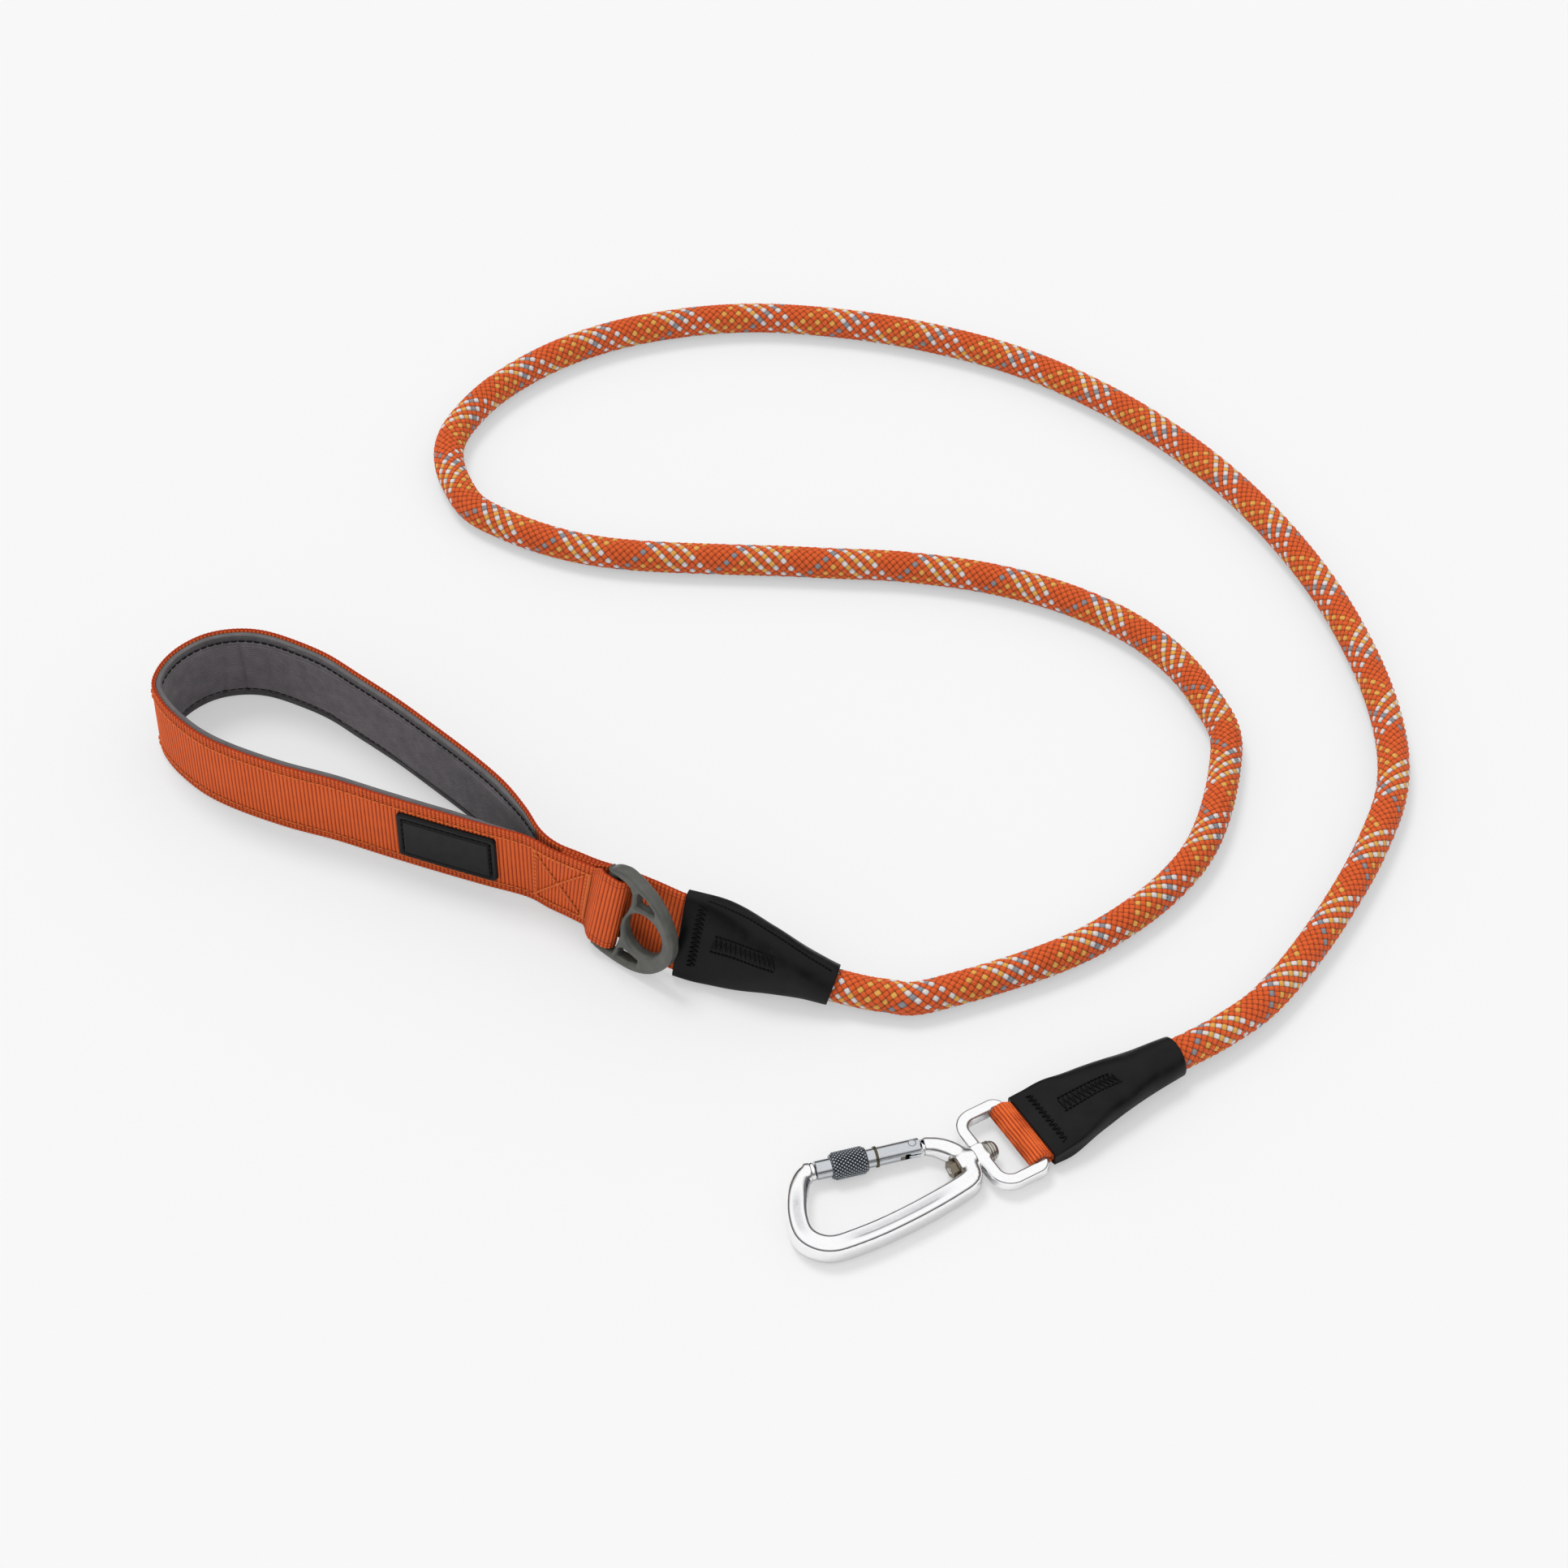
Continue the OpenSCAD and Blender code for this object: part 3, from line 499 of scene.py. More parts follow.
class Graph:
    """Builds a node tree with short calls that return sockets."""

    def __init__(self, tree: bpy.types.NodeTree) -> None:
        """Works on that tree."""
        self.tree = tree

    def node(self, kind: str, **settings: object) -> bpy.types.Node:
        """A new node with its properties set.

        Args:
            kind: its type.
            settings: its properties.

        Returns:
            The node.
        """
        made = self.tree.nodes.new(kind)
        for key, value in settings.items():
            setattr(made, key, value)
        return made

    def feed(self, socket: Socket, value: object) -> None:
        """Links a socket to an output, or sets its own value.

        Args:
            socket: an input.
            value: an output or a value.
        """
        if isinstance(value, Socket):
            self.tree.links.new(value, socket)
        else:
            socket.default_value = value

    def math(self, operation: str, *values: object) -> Socket:
        """A Math node on one to three values.

        Args:
            operation: the node's operation.
            values: outputs or numbers.

        Returns:
            The result's socket.
        """
        made = self.node("ShaderNodeMath", operation=operation)
        for socket, value in zip(made.inputs, values):
            self.feed(socket, value)
        return made.outputs[0]

    def times(self, a: object, b: object) -> Socket:
        """Product of two values."""
        return self.math("MULTIPLY", a, b)

    def plus(self, a: object, b: object) -> Socket:
        """Sum of two values."""
        return self.math("ADD", a, b)

    def mix(self, factor: object, a: object, b: object, blend: str = "MIX") -> Socket:
        """A colour mix.

        Args:
            factor: share of b.
            a, b: the colours.
            blend: how they mix.

        Returns:
            The result's socket.
        """
        made = self.node("ShaderNodeMix", data_type="RGBA", blend_type=blend)
        self.feed(made.inputs["Factor"], factor)
        self.feed(made.inputs[6], a)
        self.feed(made.inputs[7], b)
        return made.outputs[2]

    def pick(self, factor: object, a: object, b: object) -> Socket:
        """A value mix.

        Args:
            factor: share of b.
            a, b: the values.

        Returns:
            The result's socket.
        """
        made = self.node("ShaderNodeMix", data_type="FLOAT")
        self.feed(made.inputs["Factor"], factor)
        self.feed(made.inputs[2], a)
        self.feed(made.inputs[3], b)
        return made.outputs[0]

    def span(self, value: object, lo: float, hi: float, to_lo: float, to_hi: float) -> Socket:
        """Maps a value from one range to another, held at the ends.

        Args:
            value: the value.
            lo, hi: its range.
            to_lo, to_hi: the new range.

        Returns:
            The result's socket.
        """
        made = self.node("ShaderNodeMapRange")
        for socket, item in zip(made.inputs, (value, lo, hi, to_lo, to_hi)):
            self.feed(socket, item)
        return made.outputs[0]

    def noise(self, vector: object, scale: object, detail: float = 2.0) -> Socket:
        """Noise from 0 to 1.

        Args:
            vector: the place.
            scale: cells per metre.
            detail: octaves.

        Returns:
            The result's socket.
        """
        made = self.node("ShaderNodeTexNoise")
        self.feed(made.inputs["Vector"], vector)
        self.feed(made.inputs["Scale"], scale)
        made.inputs["Detail"].default_value = detail
        return made.outputs["Fac"]

    def bump(self, height: object, distance: float, strength: float = 1.0) -> Socket:
        """A normal from a height, in metres of distance per unit.

        Args:
            height: the height.
            distance: metres per unit of it.
            strength: share of the bump.

        Returns:
            The result's socket.
        """
        made = self.node("ShaderNodeBump")
        self.feed(made.inputs["Height"], height)
        made.inputs["Distance"].default_value = distance
        made.inputs["Strength"].default_value = strength
        return made.outputs["Normal"]

    def plain_bounce(self, colour: object) -> Socket:
        """A colour that is grey for the light it throws on other surfaces, and nearly so in mirrors.

        Args:
            colour: the surface's own colour.

        Returns:
            The result's socket.
        """
        path = self.node("ShaderNodeLightPath")
        mirrored = self.times(path.outputs["Is Glossy Ray"], 0.7)
        elsewhere = self.math("MAXIMUM", path.outputs["Is Diffuse Ray"], mirrored)
        return self.mix(elsewhere, colour, (0.24, 0.24, 0.24, 1.0))

    def object_place(self) -> Socket:
        """Object coordinates, in metres."""
        return self.node("ShaderNodeTexCoord").outputs["Object"]

    def surface_place(self) -> tuple[Socket, Socket]:
        """The piece's own texture coordinates, along and across.

        Returns:
            The two sockets.
        """
        apart = self.node("ShaderNodeSeparateXYZ")
        self.feed(apart.inputs[0], self.node("ShaderNodeUVMap", uv_map="UVMap").outputs[0])
        return apart.outputs[0], apart.outputs[1]

    def group(self, name: str, **values: object) -> bpy.types.Node:
        """Places a shared node group with its own values.

        Args:
            name: the group's name.
            values: its inputs, with underscores for spaces.

        Returns:
            The group's node.
        """
        made = self.node("ShaderNodeGroup", node_tree=bpy.data.node_groups[name])
        for key, value in values.items():
            self.feed(made.inputs[key.replace("_", " ")], value)
        return made


def new_group(
    name: str, inputs: dict[str, object], outputs: dict[str, str]
) -> tuple[Graph, bpy.types.Node, bpy.types.Node]:
    """A node group with named sockets.

    Args:
        name: the group's name.
        inputs: name to default: a number, or None for a vector.
        outputs: name to socket type.

    Returns:
        The group's graph and its input and output nodes.
    """
    tree = bpy.data.node_groups.new(name, "ShaderNodeTree")
    for key, value in inputs.items():
        kind = "NodeSocketVector" if value is None else "NodeSocketFloat"
        socket = tree.interface.new_socket(name=key, in_out="INPUT", socket_type=kind)
        if value is not None:
            socket.default_value = value
    for key, kind in outputs.items():
        tree.interface.new_socket(name=key, in_out="OUTPUT", socket_type=kind)
    return Graph(tree), tree.nodes.new("NodeGroupInput"), tree.nodes.new("NodeGroupOutput")


def build_groups() -> None:
    """Makes the effects that several finishes share."""
    # Fibre: fine fuzz of yarn, as a height and a mottle for the colour
    g, given, out = new_group(
        "Fibre", {"Vector": None, "Scale": 2500.0}, {"Height": "NodeSocketFloat", "Mottle": "NodeSocketFloat"}
    )
    fine = g.noise(given.outputs["Vector"], given.outputs["Scale"], 3.0)
    coarse = g.noise(given.outputs["Vector"], g.times(given.outputs["Scale"], 0.07), 2.0)
    g.feed(out.inputs["Height"], fine)
    g.feed(out.inputs["Mottle"], g.plus(g.times(fine, 0.6), g.times(coarse, 0.4)))
    # Grain: pebbled skin of leather or moulded rubber
    g, given, out = new_group(
        "Grain", {"Vector": None, "Scale": 1400.0}, {"Height": "NodeSocketFloat", "Wear": "NodeSocketFloat"}
    )
    pebble = g.node("ShaderNodeTexVoronoi", feature="SMOOTH_F1")
    g.feed(pebble.inputs["Vector"], given.outputs["Vector"])
    g.feed(pebble.inputs["Scale"], given.outputs["Scale"])
    soft = g.noise(given.outputs["Vector"], g.times(given.outputs["Scale"], 0.11), 3.0)
    g.feed(out.inputs["Height"], g.plus(pebble.outputs["Distance"], g.times(soft, 0.5)))
    g.feed(out.inputs["Wear"], soft)
    # Brushing: fine marks of tumbling and handling on metal
    g, given, out = new_group(
        "Brushing",
        {"Vector": None, "Scale": 900.0, "Low": 0.2, "High": 0.4},
        {"Height": "NodeSocketFloat", "Roughness": "NodeSocketFloat"},
    )
    marks = g.noise(given.outputs["Vector"], given.outputs["Scale"], 4.0)
    cloud = g.noise(given.outputs["Vector"], g.times(given.outputs["Scale"], 0.12), 2.0)
    both = g.plus(g.times(marks, 0.5), g.times(cloud, 0.5))
    g.feed(out.inputs["Height"], marks)
    rough = g.pick(g.span(both, 0.3, 0.7, 0.0, 1.0), given.outputs["Low"], given.outputs["High"])
    g.feed(out.inputs["Roughness"], rough)


def new_material(name: str) -> tuple[bpy.types.Material, Graph, bpy.types.Node]:
    """A material with a lone Principled shader.

    Args:
        name: the material's name.

    Returns:
        The material, its graph and its shader.
    """
    material = bpy.data.materials.new(name)
    material.use_nodes = True
    shader = material.node_tree.nodes["Principled BSDF"]
    return material, Graph(material.node_tree), shader


# The lock's knurl: diamonds round it, and turns of a diamond for each millimetre along it
KNURL_COUNT, KNURL_LEAN = 22, 0.7
# Beads of the webbing's edge bands
BEAD_PITCH = 1.25


@dataclass(frozen=True)
class Metal:
    """A metal finish: colour, the range of its roughness, and the size and depth of its marks."""

    name: str
    colour: tuple
    rough: tuple[float, float] = (0.18, 0.32)
    scale: float = 900.0
    depth: float = 4e-6
    # Colour of the painted shade in the grooves, where the finish is also rougher
    groove: Optional[tuple] = None
    # Colour of the painted shade in the knurl's valleys
    knurl: Optional[tuple] = None

    def material(self) -> bpy.types.Material:
        """Builds the finish.

        Returns:
            The material.
        """
        material, g, shader = new_material(self.name)
        low, high = self.rough
        marks = g.group("Brushing", Vector=g.object_place(), Scale=self.scale, Low=low, High=high)
        tint = g.span(marks.outputs["Height"], 0.3, 0.7, 0.97, 1.02)
        colour, rough = g.mix(1.0, self.colour, tint, "MULTIPLY"), marks.outputs["Roughness"]
        # Painted shade: the grooves' colour is mixed in patches toward a darker grey; the rougher finish
        # there is the real satin finish
        if self.groove:
            patchy = g.span(marks.outputs["Roughness"], low, high, 0.4, 1.0)
            deep = g.times(g.surface_place()[0], patchy)
            colour, rough = g.mix(deep, colour, self.groove), g.pick(deep, rough, 0.4)
        # Painted shade: the knurl's valleys take the dark colour, and its tips keep the metal's
        if self.knurl:
            along, about = g.surface_place()
            lean = g.times(along, KNURL_LEAN)
            turn = g.times(about, float(KNURL_COUNT))
            starts = [g.math("FRACT", g.math(way, turn, lean)) for way in ("ADD", "SUBTRACT")]
            saws = [g.math("ABSOLUTE", g.math("MULTIPLY_ADD", start, 2.0, -1.0)) for start in starts]
            tip = g.span(g.math("MINIMUM", *saws), 0.2, 0.62, 0.0, 1.0)
            colour = g.mix(tip, self.knurl, colour)
        g.feed(shader.inputs["Base Color"], colour)
        shader.inputs["Metallic"].default_value = 1.0
        g.feed(shader.inputs["Roughness"], rough)
        g.feed(shader.inputs["Normal"], g.bump(marks.outputs["Height"], self.depth))
        return material


@dataclass(frozen=True)
class Skin:
    """Leather, rubber or moulded metal with a grain."""

    name: str
    colour: tuple
    worn: tuple
    rough: tuple[float, float]
    scale: float
    depth: float
    specular: float = 0.5

    def material(self) -> bpy.types.Material:
        """Builds the finish.

        Returns:
            The material.
        """
        material, g, shader = new_material(self.name)
        grain = g.group("Grain", Vector=g.object_place(), Scale=self.scale)
        wear = g.span(grain.outputs["Wear"], 0.42, 0.75, 0.0, 1.0)
        g.feed(shader.inputs["Base Color"], g.mix(wear, self.colour, self.worn))
        g.feed(shader.inputs["Roughness"], g.pick(wear, self.rough[0], self.rough[1]))
        shader.inputs["Specular IOR Level"].default_value = self.specular
        g.feed(shader.inputs["Normal"], g.bump(grain.outputs["Height"], self.depth))
        return material


@dataclass(frozen=True)
class Thread:
    """Sewing thread with a slight lustre."""

    name: str
    colour: tuple
    rough: float = 0.6

    def material(self) -> bpy.types.Material:
        """Builds the finish.

        Returns:
            The material.
        """
        material, g, shader = new_material(self.name)
        fuzz = g.group("Fibre", Vector=g.object_place(), Scale=4000.0)
        dark = tuple(c * 0.72 for c in self.colour[:3]) + (1.0,)
        g.feed(shader.inputs["Base Color"], g.mix(fuzz.outputs["Mottle"], dark, self.colour))
        shader.inputs["Roughness"].default_value = self.rough
        shader.inputs["Specular IOR Level"].default_value = 0.15
        shader.inputs["Sheen Weight"].default_value = 0.04
        g.feed(shader.inputs["Normal"], g.bump(fuzz.outputs["Height"], 6e-5))
        return material


@dataclass(frozen=True)
class Ribbed:
    """Woven webbing: ribs across it, a grain along its edges and painted shade in the valleys.

    Texture places are in millimetres: along the webbing, and across it from its middle.
    """

    name: str
    colour: tuple
    # Colour of the painted shade in the valleys between ribs
    valley: tuple
    pitch: float
    half: float
    band: float

    def material(self) -> bpy.types.Material:
        """Builds the finish.

        Returns:
            The material.
        """
        material, g, shader = new_material(self.name)
        along, across = g.surface_place()
        wave = g.math("ABSOLUTE", g.math("SINE", g.times(along, math.pi / self.pitch)))
        inner = self.half - self.band
        edge = g.span(g.math("ABSOLUTE", across), inner - 0.2, inner + 0.2, 0.0, 1.0)
        bead = g.math("ABSOLUTE", g.math("SINE", g.times(across, math.pi / BEAD_PITCH)))
        ridge = g.pick(edge, wave, g.times(wave, g.math("POWER", bead, 0.5)))
        fuzz = g.group("Fibre", Vector=g.object_place(), Scale=2600.0)
        yarn = g.math("SINE", g.times(across, TURN / 0.62))
        # Painted shade: darker in the rib valleys and between yarns, over a random mottle
        shade_and_mottle = g.math("POWER", ridge, 0.7)
        shade_and_mottle = g.plus(shade_and_mottle, g.times(g.math("SUBTRACT", fuzz.outputs["Mottle"], 0.5), 0.7))
        shade_and_mottle = g.plus(shade_and_mottle, g.times(yarn, 0.05))
        colour = g.mix(g.span(shade_and_mottle, 0.15, 0.95, 0.0, 1.0), self.valley, self.colour)
        g.feed(shader.inputs["Base Color"], g.plain_bounce(colour))
        shader.inputs["Roughness"].default_value = 0.72
        shader.inputs["Specular IOR Level"].default_value = 0.25
        shader.inputs["Sheen Weight"].default_value = 0.04
        shader.inputs["Sheen Tint"].default_value = self.colour
        fine = g.times(fuzz.outputs["Height"], 0.35)
        height = g.plus(g.times(ridge, 0.6), fine)
        height = g.plus(height, g.times(yarn, 0.08))
        g.feed(shader.inputs["Normal"], g.bump(height, 2.4e-4))
        return material


@dataclass(frozen=True)
class Knit:
    """Fine grey fabric, with ridges along it where it is an edge tape, and painted shade in the ridges'
    troughs.

    Texture places are in millimetres: along the fabric and across it.
    """

    name: str
    colour: tuple
    dark: tuple
    ridge: float
    ridge_depth: float

    def material(self) -> bpy.types.Material:
        """Builds the finish.

        Returns:
            The material.
        """
        material, g, shader = new_material(self.name)
        along, across = g.surface_place()
        lines = g.math("SINE", g.times(across, TURN / self.ridge))
        slant = g.plus(g.times(along, TURN / 0.8), g.times(across, 9.0))
        loops = g.math("SINE", slant)
        fuzz = g.group("Fibre", Vector=g.object_place(), Scale=3200.0)
        # Painted shade: a little darker in the troughs between ridges, over a random mottle
        shade_and_mottle = g.plus(fuzz.outputs["Mottle"], g.times(lines, 0.12))
        g.feed(shader.inputs["Base Color"], g.mix(g.span(shade_and_mottle, 0.25, 0.85, 0.0, 1.0), self.dark, self.colour))
        shader.inputs["Roughness"].default_value = 0.9
        shader.inputs["Sheen Weight"].default_value = 0.06
        height = g.plus(g.times(lines, self.ridge_depth), g.times(loops, 0.1))
        height = g.plus(height, g.times(fuzz.outputs["Height"], 0.5))
        g.feed(shader.inputs["Normal"], g.bump(height, 1.0e-4))
        return material


class Strand(Enum):
    """Yarn colours of the rope's sheath."""

    ORANGE = linear(248, 106, 48)
    YELLOW = linear(255, 188, 92)
    WHITE = linear(248, 240, 238)
    GREY = linear(158, 158, 164)


# Colours of the twelve strands of each way, in the order in which they pass along the rope
O, Y, W, G = Strand.ORANGE, Strand.YELLOW, Strand.WHITE, Strand.GREY
LEFT_LAY = (Y, O, Y, O, Y, O, G, O, O, O, O, O)
RIGHT_LAY = (W, O, W, O, W, O, O, O, O, O, O, O)


# ---- The rope ----
@dataclass
class Rope:
    """Braided sheath over a twisted core, from the handle sleeve to the clip sleeve.

    The sheath has 24 strands, 12 each way, in a plain weave. Strand places run in two slanted
    coordinates, a = 12 (laps + turn) and b = 12 (laps - turn): in each unit cell one strand lies
    on top, of the left lay where the cell's whole parts add up to an even number, and of the
    right lay otherwise. The marks give the laps and the sheath's own twist at lengths in mm.
    """

    diameter: float = 11.0
    core_diameter: float = 8.6
    lay: float = 32.0
    strands: int = 12
    relief: float = 0.6
    tuck: float = 26.0
    rest_height: float = 5.52
    floor_route: tuple = (
        (76, -19, 0.5), (93, -18, 0), (143, 4, 0), (179, 40, 0), (193, 87, 0), (188, 112, 0),
        (175, 135, 0), (154, 154, 0), (125, 168, 0), (90, 176, 0), (50, 179, 0), (-20, 184, 0),
        (-60, 201, 0), (-73, 218, 0), (-77, 239, 0), (-69, 259, 0), (-54, 277, 0), (-32, 293, 0),
        (-4, 304, 0), (30, 309, 0), (65, 306, 0), (98, 298, 0), (130, 285, 0), (159, 266, 0),
        (185, 242, 0), (208, 213, 0), (227, 179, 0), (240, 145, 0), (248, 108, 0), (248, 75, 0),
        (238, 45, 0), (220, 11, 0), (200, -18, 0), (184, -33, 0.6),
    )  # fmt: skip

    marks: tuple = (
        (54.6, 1.875, 0.406), (86.5, 2.875, 0.322), (178.8, 5.875, 0.344), (210.3, 6.875, 0.283),
        (262.5, 8.708, 0.289), (291.6, 9.708, 0.339), (385.6, 12.708, 0.339), (417.9, 13.708, 0.333),
        (449.9, 14.708, 0.328), (481.7, 15.708, 0.35), (516.2, 16.79, 0.372), (548.2, 17.875, 0.361),
        (580.4, 18.875, 0.333), (610.2, 19.875, 0.339), (707.5, 22.875, 0.339),
        (740.7, 23.875, 0.356), (805.9, 25.875, 0.361), (839.3, 26.875, 0.322),
        (1034.3, 32.958, 0.35), (1067.3, 33.958, 0.306),
    )  # fmt: skip

    def weave(self, total: float, per_lap: int) -> tuple[Array, Array, Array]:
        """Lengths, laps and twist of the sheath's rows, which stand at whole parts of a lap.

        Args:
            total: the rope's length.
            per_lap: rows per lap.

        Returns:
            A length, laps and twist for each row.
        """
        at, laps, twist = np.array(self.marks).T
        s = np.arange(0, total + 1, 1.0)
        beyond = np.minimum(s - at[0], 0) + np.maximum(s - at[-1], 0)
        dense = np.interp(s, at, laps) + beyond / self.lay
        rows = softened(np.stack([dense, np.interp(s, at, twist)], -1), 17)
        low, high = math.ceil(rows[0, 0] * per_lap), math.floor(rows[-1, 0] * per_lap)
        laps_at = np.arange(low, high + 1) / per_lap
        return np.interp(laps_at, rows[:, 0], s), laps_at, np.interp(laps_at, rows[:, 0], rows[:, 1])

    def route(self) -> Array:
        """Centre line, through both sleeves.

        Returns:
            Its points, one row each.
        """
        length = HANDLE_SLEEVE.length
        head = [
            HANDLE_SLEEVE.axis(length - self.tuck, 11.7),
            HANDLE_SLEEVE.axis(length - 12, 8.7),
            HANDLE_SLEEVE.axis(length, 6.8),
        ]
        far = CLIP_SLEEVE.start + CLIP_SLEEVE.length
        tail = [CLIP.out([d, 0, z]) for d, z in ((far, 2.3), (far - 13, 2.4), (far - self.tuck, 2.4))]
        middle = [(x, y, z + self.rest_height) for x, y, z in self.floor_route]
        return spline(np.array(head + middle + tail), 24)

    def rings(self, points: Array, radius: Array, angles: Array) -> Array:
        """Grid of points at a radius about the centre line, by angle from its left side upwards.

        Args:
            points: the centre line.
            radius: a radius for each point and angle.
            angles: angles of the columns.

        Returns:
            The grid.
        """
        t = headings(points)
        side = unit(np.cross(UP, t))
        top = np.cross(t, side)
        angles = np.broadcast_to(angles, (len(points), angles.shape[-1]))
        c, s = np.cos(angles)[..., None], np.sin(angles)[..., None]
        return points[:, None, :] + radius[..., None] * (c * side[:, None, :] + s * top[:, None, :])

    def build(self) -> list[Piece]:
        """Returns:
            Both pieces.
        """
        around = 48
        fine, run = evenly(self.route(), 0.5)
        s, laps, twist = self.weave(float(run[-1]), around)
        points = rows_at(s, run, fine)
        turn = np.arange(around) / around
        a = self.strands * (laps[:, None] + turn[None, :])
        b = self.strands * (laps[:, None] - turn[None, :])
        even = (np.floor(a + 1e-6) + np.floor(b + 1e-6)) % 2 == 0
        fa, fb = (a + 1e-6) % 1, (b + 1e-6) % 1
        across, along = np.where(even, fa, fb), np.where(even, fb, fa)
        crown = np.sin(math.pi * across) ** 0.5 * (0.5 + 0.5 * np.sin(math.pi * along) ** 0.7)
        radius = self.diameter / 2 - self.relief * (1 - crown)
        grid = self.rings(points, radius, TURN * (turn[None, :] - twist[:, None]))
        sheath = grid_piece("rope_braid", grid, laps, np.arange(around + 1) / around)
        dress(sheath, self.braid().name, "leash", "rope_sheath")

        # The core: seven plies that wind about the rope once in 57 mm
        middle, run = evenly(self.route(), 3.0)
        angle = TURN * np.arange(28) / 28
        ply = np.abs(np.cos(3.5 * (angle[None, :] - run[:, None] / 9)))
        rings = self.rings(middle, 0.5 * self.core_diameter * (0.9 + 0.1 * ply), angle)
        core = grid_piece("rope_core_plies", rings, run, np.arange(len(angle) + 1))
        dress(core, "Core_Yarn", "leash", "rope_core")
        return [sheath, core]

    def braid(self) -> bpy.types.Material:
        """The woven sheath: each cell takes the colour of the strand on top, with painted shade at the
        strands' edges.

        Returns:
            The material.
        """
        material, g, shader = new_material("Rope_Braid")
        u, v = g.surface_place()
        a = g.times(g.plus(u, v), self.strands)
        b = g.times(g.math("SUBTRACT", u, v), self.strands)
        ia, ib = g.math("FLOOR", a), g.math("FLOOR", b)
        odd = g.math("FLOORED_MODULO", g.plus(ia, ib), 2.0)
        fa, fb = g.math("FRACT", a), g.math("FRACT", b)
        across, along = g.pick(odd, fa, fb), g.pick(odd, fb, fa)
        right = self.lay_colours(g, ib, RIGHT_LAY)
        left = self.lay_colours(g, ia, LEFT_LAY)
        colour = g.mix(odd, left, right)
        crown = g.math("SINE", g.times(across, math.pi))
        bow = g.math("SINE", g.times(along, math.pi))
        shape = g.times(g.math("POWER", crown, 0.45), g.span(bow, 0.0, 0.7, 0.6, 1.0))
        twist = g.plus(g.times(across, 4.0), g.times(along, 1.3))
        yarns = g.math("ABSOLUTE", g.math("SINE", g.times(twist, math.pi)))
        fuzz = g.group("Fibre", Vector=g.object_place(), Scale=3000.0)
        # Painted shade: darker towards each strand's edges and between its yarns, times a random mottle
        painted_shade_and_mottle = g.times(g.span(shape, 0.2, 0.78, 0.3, 1.0), g.span(yarns, 0.0, 0.6, 0.88, 1.0))
        painted_shade_and_mottle = g.times(painted_shade_and_mottle, g.span(fuzz.outputs["Mottle"], 0.3, 0.7, 0.88, 1.08))
        g.feed(shader.inputs["Base Color"], g.plain_bounce(g.mix(1.0, colour, painted_shade_and_mottle, "MULTIPLY")))
        shader.inputs["Roughness"].default_value = 0.62
        shader.inputs["Specular IOR Level"].default_value = 0.3
        height = g.plus(shape, g.times(yarns, 0.28))
        height = g.plus(height, g.times(fuzz.outputs["Height"], 0.2))
        g.feed(shader.inputs["Normal"], g.bump(height, 3.4e-4))
        return material

    def lay_colours(self, g: Graph, number: Socket, order: tuple) -> Socket:
        """Colour of a strand by its number, which repeats after twelve.

        Args:
            g: the finish's graph.
            number: the strand's number.
            order: colours of twelve strands.

        Returns:
            The result's socket.
        """
        ramp = g.node("ShaderNodeValToRGB")
        ramp.color_ramp.interpolation = "CONSTANT"
        stops = ramp.color_ramp.elements
        stops[0].color = order[0].value
        stops.remove(stops[1])
        for k, strand in enumerate(order[1:], 1):
            stops.new(k / self.strands).color = strand.value
        strand = g.math("FLOORED_MODULO", number, float(self.strands))
        g.feed(ramp.inputs[0], g.math("DIVIDE", g.plus(strand, 0.5), float(self.strands)))
        return ramp.outputs[0]


